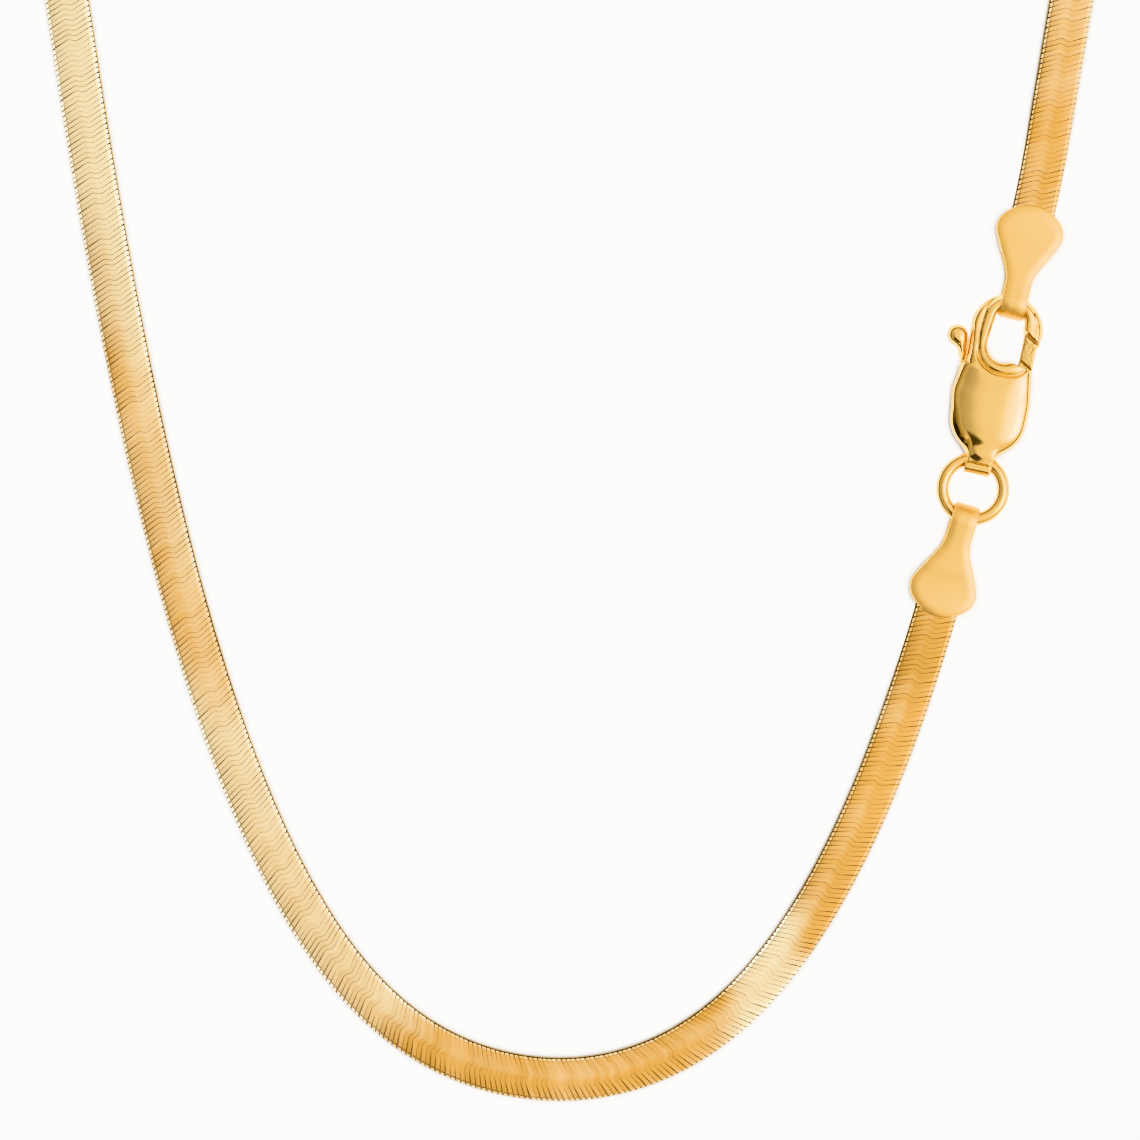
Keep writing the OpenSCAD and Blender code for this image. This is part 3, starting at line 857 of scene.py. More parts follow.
    def weaving(self) -> bpy.types.NodeTree:
        """Builds the tree that repeats the link along the line.

        Returns:
            The node group, with named inputs for its sizes.
        """
        tree = bpy.data.node_groups.new("herringbone_weave", "GeometryNodeTree")
        wiring = Wiring(tree)
        for name, kind in {"Geometry": "Geometry", **self.SOCKETS}.items():
            tree.interface.new_socket(name, in_out="INPUT", socket_type=f"NodeSocket{kind}")
        tree.interface.new_socket("Geometry", in_out="OUTPUT", socket_type="NodeSocketGeometry")
        given = wiring.add("NodeGroupInput").outputs
        line = wiring.out("GeometryNodeMeshToCurve", {0: given["Geometry"]})
        parts = [
            wiring.out("GeometryNodeSetMaterial", {"Geometry": part, "Material": given[gold]})
            for part, gold in (
                (self.woven_links(wiring, given, line), "Link Gold"),
                (self.woven_core(wiring, given, line), "Core Gold"),
            )
        ]
        wiring.add("NodeGroupOutput", {0: wiring.gather(*parts)})
        return tree

    def woven_links(
        self, wiring: Wiring, given: bpy.types.NodeOutputs, line: Socket
    ) -> Socket:
        """Repeats the link along the line, each one a little turned and stretched in its own way.

        Args:
            wiring: The weave's tree.
            given: The group's inputs.
            line: The middle line as a curve.

        Returns:
            Socket with all the links as one mesh.
        """
        spacing = {"Curve": line, "Length": given["Pitch"]}
        evenly = wiring.out("GeometryNodeResampleCurve", spacing, mode="LENGTH")
        upright = wiring.out(
            "FunctionNodeAxesToRotation",
            {"Primary Axis": wiring.out("GeometryNodeInputTangent"), "Secondary Axis": (0.0, 0.0, 1.0)},
            primary_axis="Y",
            secondary_axis="Z",
        )
        lean = wiring.math("MULTIPLY", wiring.chance(given["Seed"], -1.0, 1.0), given["Unevenness"])
        roll = wiring.math("MULTIPLY", wiring.stored("roll"), given["Roll"])
        angles = wiring.out("ShaderNodeCombineXYZ", {"X": lean, "Y": roll})
        turn = wiring.out("FunctionNodeEulerToRotation", {0: angles})
        facing = wiring.out(
            "FunctionNodeRotateRotation", {"Rotation": upright, "Rotate By": turn}, rotation_space="LOCAL"
        )
        one = wiring.add("GeometryNodeObjectInfo", {"Object": given["Link"]}).outputs["Geometry"]
        # Gaps between links are wider where the painted sheen is strong and narrower where it is weak.
        pale = wiring.stored("lustre")
        wider = wiring.math("MULTIPLY_ADD", pale, -self.shine_narrowing, self.dull_widening)
        snug = wiring.math("ADD", wiring.chance(given["Seed"], *self.fit), wider)
        stretch = wiring.out("ShaderNodeCombineXYZ", {"X": 1.0, "Y": snug, "Z": 1.0})
        many = wiring.out(
            "GeometryNodeInstanceOnPoints",
            {"Points": evenly, "Instance": one, "Rotation": facing, "Scale": stretch},
        )
        many = wiring.out(
            "GeometryNodeStoreNamedAttribute",
            {"Geometry": many, "Name": "own_tint", "Value": wiring.chance(given["Seed"], -1.0, 1.0)},
            data_type="FLOAT",
            domain="INSTANCE",
        )
        return wiring.out("GeometryNodeRealizeInstances", {0: many})

    def woven_core(
        self, wiring: Wiring, given: bpy.types.NodeOutputs, line: Socket
    ) -> Socket:
        """Sweeps the core and a thin dark strip beside it along the line, both dim gold: painted shade that
        shows as dark lines between the links and along one edge of the chain.

        Args:
            wiring: The weave's tree.
            given: The group's inputs.
            line: The middle line as a curve.

        Returns:
            Socket with both.
        """
        spacing = {"Curve": line, "Length": self.core_spacing * MM}
        sparse = wiring.out("GeometryNodeResampleCurve", spacing, mode="LENGTH")
        flat = wiring.out("GeometryNodeSetCurveNormal", {"Curve": sparse}, mode="Z_UP")
        rise = wiring.math("MULTIPLY", given["Core Height"], 0.5)
        shape = "GeometryNodeCurvePrimitiveQuadrilateral"
        sizes = {"Width": given["Core Width"], "Bottom Height": rise, "Top Height": rise}
        strip = wiring.out(shape, {"Width": given["Shade Line Width"], "Height": given["Shade Line Height"]})
        aside = wiring.out("ShaderNodeCombineXYZ", {"X": given["Shade Line Out"]})
        shade_line = wiring.out("GeometryNodeTransform", {"Geometry": strip, "Translation": aside})
        profiles = (wiring.out(shape, sizes, mode="KITE"), shade_line)
        swept = "GeometryNodeCurveToMesh"
        return wiring.gather(
            *(wiring.out(swept, {"Curve": flat, "Profile Curve": p, "Fill Caps": True}) for p in profiles)
        )

    def build(self) -> list[bpy.types.Object]:
        """Lays the links along the route.

        Returns:
            The finished chain.
        """
        line, link, tree = self.middle_line(), self.link(), self.weaving()
        weave = line.modifiers.new("weave", "NODES")
        weave.node_group = tree
        values = {
            "Link": link,
            "Pitch": self.pitch * MM,
            "Roll": math.radians(self.roll_degrees),
            "Unevenness": math.radians(self.uneven_degrees),
            "Core Width": self.core_width * MM,
            "Core Height": self.core_height * MM,
            "Shade Line Width": self.shade_line_width * MM,
            "Shade Line Height": self.shade_line_height * MM,
            "Shade Line Out": self.shade_line_out * MM,
            "Seed": self.seed,
            "Link Gold": Finishes.LINK.value.material(),
            "Core Gold": Finishes.CORE.value.material(),
        }
        for item in tree.interface.items_tree:
            if item.in_out == "INPUT" and item.name in values:
                weave[item.identifier] = values[item.name]
        graph = bpy.context.evaluated_depsgraph_get()
        mesh = bpy.data.meshes.new_from_object(line.evaluated_get(graph), depsgraph=graph)
        line.modifiers.clear()
        for helper in (line, link):
            bpy.data.objects.remove(helper)
        mesh.name = "herringbone_links"
        piece = place("herringbone_links", mesh)
        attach(piece, "necklace")
        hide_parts("herringbone_band")
        return [piece]


# -------------------------------------------------------------------- tabs


@dataclass
class EndTab:
    """A tab of sheet metal, folded over and closed on the end of the chain."""

    name: str
    node: str
    spot: Spot
    length: float = 9.45
    pad_w: float = 5.45
    corner_r: float = 1.6
    mouth: float = 2.15
    strip_w: float = 2.1
    flank_angle: float = 26.5
    flank_r: float = 3.0
    fold_corner_r: float = 0.35
    sheet_t: float = 0.3
    fold_od: float = 2.8
    band_w: float = 3.5
    band_t: float = 1.1
    fit_gap: float = 0.08
    pad_length: float = 3.85
    margin_w: float = 0.75
    margin_drop: float = 0.17
    bow_drop: float = 0.03
    leaf_inset: float = 0.02
    parting_depth: float = 0.07
    edge_r: float = 0.09
    leaf_blend: float = 1.1
    step: float = 0.08

    def outline(self) -> list[Point]:
        """Half of the tab's outline in plan and its mirror image.

        Returns:
            The corners in order, with the fold at y = 0.
        """
        angle = math.radians(self.flank_angle)
        corner_x = self.pad_w / 2 - self.corner_r
        wide_y = self.length - self.mouth
        gap = self.mouth - self.corner_r
        mouth_r = (corner_x**2 + self.mouth**2 - self.corner_r**2) / (2 * gap)
        mouth_c = self.length - mouth_r
        top = (corner_x + self.corner_r * math.cos(angle), wide_y - self.corner_r * math.sin(angle))
        foot_y = top[1] - (top[0] - self.strip_w / 2) / math.tan(angle)
        tangent = self.flank_r * math.tan(angle / 2)
        fold_c = (self.strip_w / 2 - self.fold_corner_r, self.fold_corner_r)
        half = arc(fold_c, self.fold_corner_r, -math.pi / 2, 0.0, 6)
        flank_c = (self.strip_w / 2 + self.flank_r, foot_y - tangent)
        half += arc(flank_c, self.flank_r, math.pi, math.pi - angle, 8)
        turn = math.atan2(wide_y - mouth_c, corner_x)
        half += arc((corner_x, wide_y), self.corner_r, -angle, turn, 16)
        half += arc((0.0, mouth_c), mouth_r, turn, math.pi / 2, 12)[1:]
        return half + [(-x, y) for x, y in reversed(half[:-1])]

    @property
    def pad_t(self) -> float:
        """Height of the closed pad."""
        return 2 * (self.sheet_t + self.fit_gap) + self.band_t

    def side(self, y: Array, z: Array, inset: float) -> Array:
        """Distance from the side view: the fold, the falling leaf and the pad.

        Args:
            y: Distance from the fold's end.
            z: Height.
            inset: How far inside the sheet's outer face.

        Returns:
            The signed distances.
        """
        fold_r = self.fold_od / 2
        start = self.length - self.pad_length
        reach = math.hypot(start - fold_r, self.pad_t - fold_r)
        slope = math.asin(fold_r / reach) - math.atan2(self.pad_t - fold_r, start - fold_r)
        shift = inset * math.tan(slope / 2)
        end = self.length + (1 if inset > 0 else 0.3)
        r = fold_r - inset
        leaf = [
            (fold_r, fold_r), (fold_r, inset), (end, inset), (start - shift, self.pad_t - inset),
            (fold_r + r * math.sin(slope), fold_r + r * math.cos(slope)),
        ]  # fmt: skip
        slab = rectangle(y, z, (fold_r, inset), (end, self.pad_t - inset))
        fall = np.minimum(circle(y, z, (fold_r, fold_r), r), polygon(y, z, leaf))
        if inset > 0:
            return np.minimum(fall, slab)
        return np.maximum(join(fall, slab, self.leaf_blend), -z)

    def form(self, x: Array, y: Array, z: Array) -> Array:
        """Signed distance from the folded sheet, its margins slightly pressed down.

        Args:
            x: Across the tab.
            y: Distance from the fold's end.
            z: Height.

        Returns:
            The signed distances.
        """
        outline = polygon(x, y, self.outline())
        margin = np.clip(1 + outline / self.margin_w, 0, 1) ** 2
        pressed = z + (self.margin_drop * margin + self.bow_drop * (x / 2) ** 2) * ease(z, 0.8, 1.5)
        on_pad = ease(y, 5.0, 6.0)
        lower_leaf = -self.leaf_inset * (1 - ease(z, 0.84, 0.9)) * on_pad
        parting = self.parting_depth * bell(z, 0.93, 0.06) * on_pad
        whole = meet(outline - lower_leaf + parting, self.side(y, pressed, 0.0), self.edge_r)
        hollow = np.maximum(self.side(y, z, self.sheet_t), np.abs(x) - self.band_w / 2 - self.fit_gap)
        return meet(whole, -hollow, 0.04)

    def build(self) -> bpy.types.Object:
        """Builds and dresses the tab.

        Returns:
            The finished piece.
        """
        half = self.pad_w / 2 + 0.06
        low, high = (-half, 0, 0), (half, self.length, self.fold_od)
        points, faces = skin(self.form, low, high, self.step)
        piece = new_piece(self.name, self.spot.stand(points), faces)
        dress(piece, Finishes.SHEET)
        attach(piece, "necklace")
        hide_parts(self.node)
        return piece


# -------------------------------------------------------------------- ring


@dataclass
class JumpRing:
    """The round wire ring between the clasp's tail and the tab."""

    spot: Spot
    outer_d: float = 5.95
    wire_d: float = 1.02
    mid_z: float = 1.4
    seam_angle: float = 205.0
    seam_depth: float = 0.035
    seam_spread: float = 2.2
    turns: int = 128
    sides: int = 28

    def build(self) -> bpy.types.Object:
        """Builds the ring with its soldered seam, and dresses it.

        Returns:
            The finished piece.
        """
        around = np.radians(np.arange(self.turns) * 360 / self.turns)[:, None]
        wire = np.radians(np.arange(self.sides) * 360 / self.sides)[None, :]
        off = np.degrees(np.abs((around - math.radians(self.seam_angle) + np.pi) % (2 * np.pi) - np.pi))
        wire_r = self.wire_d / 2 * (1 - self.seam_depth * bell(off, 0, self.seam_spread))
        mid_r = (self.outer_d - self.wire_d) / 2
        out = mid_r + wire_r * np.cos(wire)
        z = self.mid_z + wire_r * np.sin(wire)
        points = np.stack([out * np.cos(around), out * np.sin(around), z], -1).reshape(-1, 3)
        i, k = np.meshgrid(np.arange(self.turns), np.arange(self.sides), indexing="ij")
        j, m = (i + 1) % self.turns, (k + 1) % self.sides
        faces = np.stack([i * self.sides + k, j * self.sides + k, j * self.sides + m, i * self.sides + m], -1)
        piece = new_piece("round_jump_ring", self.spot.stand(points), faces.reshape(-1, 4))
        dress(piece, Finishes.BRIGHT)
        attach(piece, "necklace")
        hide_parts("jump_ring")
        return piece


# ------------------------------------------------------------------- clasp


@dataclass
class Clasp:
    """The cast lobster clasp: housing with hook and tail, its lever and the lever's pin.

    Its forms are worked out in p, q and z: p goes across the clasp, with the thumb side negative, q along it
    from the tail's bore towards the hook, and z up from its flat back.
    """

    spot: Spot
    length: float = 14.95
    body_w: float = 6.16
    body_t: float = 3.0
    dome_end: float = 7.236
    hook_w: float = 5.96
    hook_t: float = 1.8
    hook_wall: float = 0.95
    hook_reach: float = 0.48
    waist_w: float = 5.52
    waist_r: float = 14.0
    waist_drop: float = 1.27
    thumb_swell: float = 0.28
    side_wall: float = 0.62
    eye_w: float = 2.86
    eye_length: float = 4.68
    eye_shift: float = 0.08
    eye_top_r: float = 1.2
    rim_w: float = 0.9
    groove_depth: float = 0.2
    crown_height: float = 0.12
    tail_w: float = 2.0
    tail_wall: float = 0.5
    tail_fillet: float = 0.9
    tail_bore_r: float = 0.713954
    body_c: float = 3.53602
    mid_z: float = 1.4
    slot_t: float = 1.3
    slot_start: float = 0.7
    slot_margin: float = 0.15
    gate_w: float = 1.18
    gate_t: float = 1.5
    gate_inset: float = 0.08
    knob_r: float = 0.85
    knob_t: float = 1.8
    knob_stand_off: float = 0.13
    knob_rise: float = 0.1
    hub_r: float = 1.0
    arm_drop: float = 0.9
    pin_p: float = 1.3
    pin_rise: float = 1.7
    pin_d: float = 0.9
    pin_seat: float = 0.3
    lever_gap: float = 0.1
    gate_gap: float = 0.1
    pin_gap: float = 0.05
    mouth_drop: float = 0.32
    mouth_low_angle: float = 15.0
    hook_end_angle: float = 32.0
    step: float = 0.075
    lever_step: float = 0.065
    derived: dict = field(default_factory=dict)

    def __post_init__(self) -> None:
        """Works out the stations along the clasp from its sizes."""
        d = self.derived
        d["tail_end"] = -self.tail_bore_r - self.tail_wall
        d["hook_top"] = d["tail_end"] + self.length
        d["hook_c"] = d["hook_top"] - self.hook_w / 2
        d["eye_top_c"] = d["hook_top"] - self.hook_wall - self.eye_top_r
        d["eye_low_c"] = d["eye_top_c"] + self.eye_top_r - self.eye_length + self.eye_w / 2
        d["waist_q"] = d["eye_low_c"] - self.waist_drop
        d["mouth_low"] = d["eye_low_c"] - self.eye_w / 2 - self.mouth_drop
        d["hook_end"] = d["eye_low_c"] + self.hook_reach
        d["slot_low"] = self.body_c + self.slot_start
        d["slot_top"] = d["mouth_low"] - self.slot_margin
        d["pin_q"] = d["slot_low"] + self.pin_rise
        d["gate_out"] = self.waist_w / 2 - self.gate_inset
        d["gate_in"] = d["gate_out"] - self.gate_w
        d["knob_p"] = self.waist_w / 2 + self.gate_gap + self.knob_stand_off + self.knob_r
        d["knob_q"] = d["eye_low_c"] + self.knob_rise

    def eye(self, p: Array, q: Array) -> Array:
        """Distance from the eye's edge, negative in the opening.

        Args:
            p: Places across the clasp.
            q: Places along it.

        Returns:
            The signed distances.
        """
        d = self.derived
        low_r, top_r = self.eye_w / 2, self.eye_top_r
        span = d["eye_top_c"] - d["eye_low_c"]
        lean = (low_r - top_r) / span
        x, y = np.abs(p - self.eye_shift), q - d["eye_low_c"]
        flat = math.sqrt(1 - lean * lean)
        along = -x * lean + y * flat
        side = x * flat + y * lean - low_r
        share = np.where(along < 0, 0, np.where(along > flat * span, 1, 2))
        low = np.hypot(x, y) - low_r
        top = np.hypot(x, y - span) - top_r
        return np.where(share == 0, low, np.where(share == 1, top, side))

    def slant(self, base: float, angle: float, p: float) -> float:
        """Height of a slanted edge at a distance from the middle line."""
        return base + (self.waist_w / 2 - p) * math.tan(math.radians(angle))

    def tip(self, p: Array, q: Array, z: Array) -> Array:
        """Distance past the slanted end of the hook, which leans under the gate."""
        end = self.slant(self.derived["hook_end"], self.hook_end_angle, p)
        return (q - end - 0.25 * (z - self.mid_z)) * math.cos(math.radians(self.hook_end_angle))

    def mouth(self, p: Array, q: Array, z: Array) -> Array:
        """Distance from the gap in the outline where the gate stands.

        Args:
            p: Places across the clasp.
            q: Places along it.
            z: Heights.

        Returns:
            The signed distances.
        """
        low = self.slant(self.derived["mouth_low"], self.mouth_low_angle, p) - q
        low = low * math.cos(math.radians(self.mouth_low_angle))
        return np.maximum(np.maximum(low, self.tip(p, q, z)), self.eye_shift - p)

    def half_width(self, p: Array, q: Array) -> Array:
        """Half of the housing's width along it, fuller where the lever comes out on the left.

        Args:
            p: Places across the clasp.
            q: Places along it.

        Returns:
            Half the width at each place.
        """
        d = self.derived
        off = np.clip(q - d["waist_q"], -5.0, 5.0)
        waist = self.waist_w / 2 + self.waist_r - np.sqrt(self.waist_r**2 - off**2)
        full = np.where(q < d["waist_q"], self.body_w / 2, self.hook_w / 2)
        soft = np.clip(0.5 + (full - waist) / 0.3, 0, 1)
        width = full * (1 - soft) + waist * soft - 0.15 * soft * (1 - soft)
        return width + self.thumb_swell * ease(-p, 0.0, 2.0) * (ease(q, 3.4, 5.6) - ease(q, 7.45, 7.7))

    def plan(self, p: Array, q: Array) -> Array:
        """Distance from the outline of housing and hook."""
        low, high = np.minimum(q - self.body_c, 0), np.maximum(q - self.derived["hook_c"], 0)
        return np.hypot(p, low + high) - self.half_width(p, q)

    def tail(self, p: Array, q: Array, z: Array) -> Array:
        """Distance from the tail: its neck, the step and the rolled lip.

        Args:
            p: Places across the clasp.
            q: Places along it.
            z: Heights.

        Returns:
            The signed distances.
        """
        d = self.derived
        lip, neck = self.mid_z + self.tail_bore_r + 0.14, self.mid_z + self.tail_bore_r + 0.42
        floor = self.mid_z - self.tail_bore_r - 0.6
        corners = [
            (d["tail_end"], floor), (d["tail_end"], lip), (-0.3, lip), (-0.26, neck), (self.body_c, neck),
            (self.body_c, 0.2), (0.4, 0.2), (0.0, floor),
        ]  # fmt: skip
        side = polygon(q, z, corners)
        rolled = np.hypot(np.minimum(q, 0), z - self.mid_z) - self.tail_bore_r - self.tail_wall
        side = meet(side, rolled - 3 * ease(q, -0.3, 0.4), 0.1) + 0.75 * ease(q, 0.2, 2.0) * ease(z, 1.4, 2.0)
        half = self.tail_w / 2 + 0.08 * (1 - ease(q, -0.36, -0.24))
        plan = np.maximum(np.abs(p) - half, np.maximum(d["tail_end"] - q, q - self.body_c))
        return meet(plan, side, 0.12)

    def rim_groove(self, p: Array, q: Array) -> Array:
        """How deep the line is that sets the eye's rim off from the housing, from 0 to 1.

        Args:
            p: Places across the clasp.
            q: Places along it.

        Returns:
            The line's depth at each place.
        """
        d = self.derived
        fade = 2.0 - 3.2 * ease(q, d["eye_low_c"], d["eye_top_c"] + 0.6)
        width = self.rim_w + 0.06 + 0.22 * ease(p, 0.2, 1.8) - 0.25 * bell(q, 9.3, 1.0) * ease(-p, 0.3, 1.0)
        line = bell(self.eye(p, q), width, 0.14)
        return line * (1 - ease(p, fade, fade + 0.8)) * (1 - 0.45 * ease(q, 8.0, 9.5))

    def body_form(self, p: Array, q: Array, z: Array) -> Array:
        """Signed distance from the housing with its hook and tail.

        Args:
            p: Places across the clasp.
            q: Places along it.
            z: Heights.

        Returns:
            The signed distances.
        """
        d = self.derived
        fall = np.clip((q - self.dome_end) / (d["eye_top_c"] + 0.2 - self.dome_end), 0, 1)
        top = self.body_t + (self.mid_z + self.hook_t / 2 - self.body_t) * fall
        back = (self.mid_z - self.hook_t / 2) * ease(q, 8.2, 11.0)
        shoulder = 2.1 - 0.7 * ease(q, 6.5, 9.5)
        heel = 0.55 + 0.85 * ease(q, 7.0, 11.0)
        margin = (self.half_width(p, q) - 0.12) * (1 - 0.77 * ease(q, 5.4, 9.0))
        ledge = 0.16 * (1 - ease(z, 0.6, 0.72)) * ease(-p, 0.0, 2.0)
        plan = self.plan(p, q) - ledge * (ease(q, 7.2, 7.7) - ease(q, 9.6, 10.6))
        upper = cushion(plan, z - shoulder, top - shoulder, margin)
        body = np.maximum(upper, cushion(plan, heel - z, heel - back, 0.5 + 0.2 * ease(q, 8.0, 10.0)))
        corner = ease(-p, 0.0, 1.4) * (1 - ease(q, 2.6, 6.2))
        slanted = (z - self.body_t + 0.44 - 0.8 * (1 - corner) + 0.87 * (plan + 0.5)) / 1.325
        body = meet(body, slanted, 0.16)
        front = ease(z, self.mid_z + 0.2, self.mid_z + 0.7)
        eye = self.eye(p, q)
        crown = np.clip(1 - ((eye - 0.42) / 0.46) ** 2, 0, 1) * front * ease(q, 5.0, 6.0)
        body = body + self.groove_depth * self.rim_groove(p, q) * front - self.crown_height * crown
        whole = meet(join(body, self.tail(p, q, z), self.tail_fillet), -z, 0.05)
        whole = meet(whole, -eye, 0.4)
        whole = meet(whole, -self.mouth(p, q, z), 0.09)
        slot = np.maximum(self.slot(p, q), np.abs(z - self.mid_z) - self.slot_t / 2)
        whole = meet(whole, -slot, 0.06)
        bore = np.hypot(q, z - self.mid_z) - self.tail_bore_r
        whole = meet(whole, -bore, 0.14)
        hole = circle(p, q, (self.pin_p, d["pin_q"]), self.pin_d / 2 + 0.01)
        return np.maximum(whole, -np.maximum(hole, z - self.mid_z - 0.95))

    def slot(self, p: Array, q: Array) -> Array:
        """Distance from the slot's plan, open to the thumb side, the eye and the gate.

        Args:
            p: Places across the clasp.
            q: Places along it.

        Returns:
            The signed distances.
        """
        d = self.derived
        wall, far = self.body_w / 2 - self.side_wall, self.body_w / 2 + 1
        low, eye = d["mouth_low"], d["eye_low_c"]
        corners = [
            (-far, d["slot_low"]), (wall, d["slot_low"]), (wall, low - self.arm_drop), (far, low - 0.55),
            (far, eye - 0.5), (-0.3, eye - 0.5), (-0.3, d["slot_top"]), (-far, d["slot_top"]),
        ]  # fmt: skip
        return polygon(p, q, corners)

    def lever_form(self, p: Array, q: Array, z: Array) -> Array:
        """Signed distance from the lever: arm, hub, gate, stem and thumb knob.

        Args:
            p: Places across the clasp.
            q: Places along it.
            z: Heights.

        Returns:
            The signed distances.
        """
        d = self.derived
        half, pin = self.waist_w / 2, (self.pin_p, d["pin_q"])
        arm_top, arm_low = d["slot_top"] - self.lever_gap, d["slot_low"] + 2.2
        wall = self.body_w / 2 - self.side_wall - self.lever_gap
        side_low = d["mouth_low"] - self.arm_drop + self.lever_gap
        corners = [
            (-half - 0.12, arm_low), (-half - 0.22, arm_low + 0.5), (-half - 0.26, arm_top),
            (d["gate_in"], arm_top), (d["gate_in"], d["eye_low_c"]), (d["gate_out"], d["eye_low_c"]),
            (d["gate_out"], side_low + 0.4), (wall, side_low), (wall, pin[1]), (pin[0], pin[1] - self.hub_r),
        ]  # fmt: skip
        arm = np.minimum(polygon(p, q, corners), circle(p, q, pin, self.hub_r))
        shoulder, above = d["mouth_low"] + 0.12, d["hook_end"] + 1.2
        foot = self.slant(shoulder, 2 * self.mouth_low_angle, d["gate_in"])
        corners = [
            (d["gate_in"], foot), (d["gate_out"], shoulder + 0.1), (d["gate_out"], above),
            (d["gate_in"], above),
        ]  # fmt: skip
        gate = np.maximum(polygon(p, q, corners), self.tip(p, q, z) + self.gate_gap)
        knob = circle(p, q, (-d["knob_p"], d["knob_q"]), self.knob_r)
        head, tail = (-half - 0.62, d["knob_q"] - 0.6), (-half - 0.3, arm_top + 0.38)
        across, along = tail[0] - head[0], tail[1] - head[1]
        share = np.clip(((p - head[0]) * across + (q - head[1]) * along) / (across**2 + along**2), 0, 1)
        neck = np.hypot(p - head[0] - share * across, q - head[1] - share * along) - 0.42 + 0.16 * share
        knob = join(knob, neck, 0.5)
        stem = rectangle(p, q, (-half - 0.38, arm_top - 0.4), (-half, arm_top + 0.8))
        high = np.abs(z - self.mid_z)
        thin = np.minimum(np.minimum(arm, gate), stem)
        clear = np.maximum(arm_top - q, np.maximum(p, -p - self.body_w / 2 - 1))
        waist = np.hypot(p + half + self.waist_r, q - d["waist_q"])
        clear = np.maximum(clear, self.waist_r - self.gate_gap - waist)
        thin = meet(thin, -clear, 0.03)
        knob = meet(knob, -clear, 0.1)
        whole = meet(thin, high - self.slot_t / 2 + self.lever_gap, 0.1)
        whole = np.minimum(whole, meet(gate, high - self.gate_t / 2, 0.2))
        whole = join(whole, cushion(knob, high, self.knob_t / 2, 0.7), 0.1)
        return np.maximum(whole, -circle(p, q, pin, self.pin_d / 2 + self.pin_gap))

    def build_body(self) -> bpy.types.Object:
        """Builds and dresses the housing.

        Returns:
            The finished piece.
        """
        d = self.derived
        low = (-self.body_w / 2 - 0.3, d["tail_end"], 0)
        high = (self.body_w / 2, d["hook_top"], self.body_t)
        points, faces = skin(self.body_form, low, high, self.step)
        piece = new_piece("clasp_housing", self.spot.stand(points), faces)
        dress(piece, Finishes.BRIGHT)
        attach(piece, "necklace")
        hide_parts("clasp_body")
        return piece

    def build_lever(self) -> bpy.types.Object:
        """Builds and dresses the lever, with a cast surface on its gate.

        Returns:
            The finished piece.
        """
        d = self.derived
        low = (-d["knob_p"] - self.knob_r, d["pin_q"] - self.hub_r, self.mid_z - self.knob_t / 2)
        high = (d["gate_out"], d["knob_q"] + self.knob_r + 0.6, self.mid_z + self.knob_t / 2)
        points, faces = skin(self.lever_form, low, high, self.lever_step)
        piece = new_piece("clasp_thumb_lever", self.spot.stand(points), faces)
        dress(piece, Finishes.BRIGHT)
        piece.data.materials.append(Finishes.GATE.value.material())
        mid = points[faces].mean(1)
        cast = (mid[:, 0] > d["gate_in"] - 0.3) & (mid[:, 1] > d["mouth_low"] - 0.3)
        piece.data.polygons.foreach_set("material_index", cast.astype(int))
        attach(piece, "lever")
        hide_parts("clasp_lever")
        return piece

    def build_pin(self) -> bpy.types.Object:
        """Builds and dresses the pin, its foot slightly domed and its rim broken.

        Returns:
            The finished piece.
        """
        r, top, n = self.pin_d / 2, self.mid_z + self.slot_t / 2 + self.pin_seat, 40
        rings = [(0.0, 0.0), (0.5 * r, 0.004), (0.86 * r, 0.02), (r, 0.07), (r, top - 0.05), (r - 0.05, top)]
        points = [(0.0, 0.0, 0.0)]
        for ring_r, z in rings[1:]:
            for k in range(n):
                a = 2 * math.pi * k / n
                points.append((ring_r * math.cos(a), ring_r * math.sin(a), z))
        points.append((0.0, 0.0, top))
        faces = [(0, 1 + (k + 1) % n, 1 + k) for k in range(n)]
        for i in range(len(rings) - 2):
            for k in range(n):
                a, b = 1 + i * n + k, 1 + i * n + (k + 1) % n
                faces.append((a, b, b + n, a + n))
        last = 1 + (len(rings) - 2) * n
        faces += [(last + k, last + (k + 1) % n, len(points) - 1) for k in range(n)]
        at = np.array([self.pin_p, self.derived["pin_q"], 0.0])
        piece = new_piece("lever_rivet", self.spot.stand(np.array(points) + at), faces)
        dress(piece, Finishes.BRIGHT)
        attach(piece, "necklace")
        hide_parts("lever_pin")
        return piece

    def build(self) -> list[bpy.types.Object]:
        """Builds the housing, the lever and the pin."""
        return [self.build_body(), self.build_lever(), self.build_pin()]


# ------------------------------------------------------------------ studio


@dataclass(frozen=True)
class Shade:
    """A patch of the surroundings: where it is, how far it reaches, in degrees, and how dark it is."""

    azimuth: float
    height: float
    inner: float
    outer: float
    strength: float = 0.92


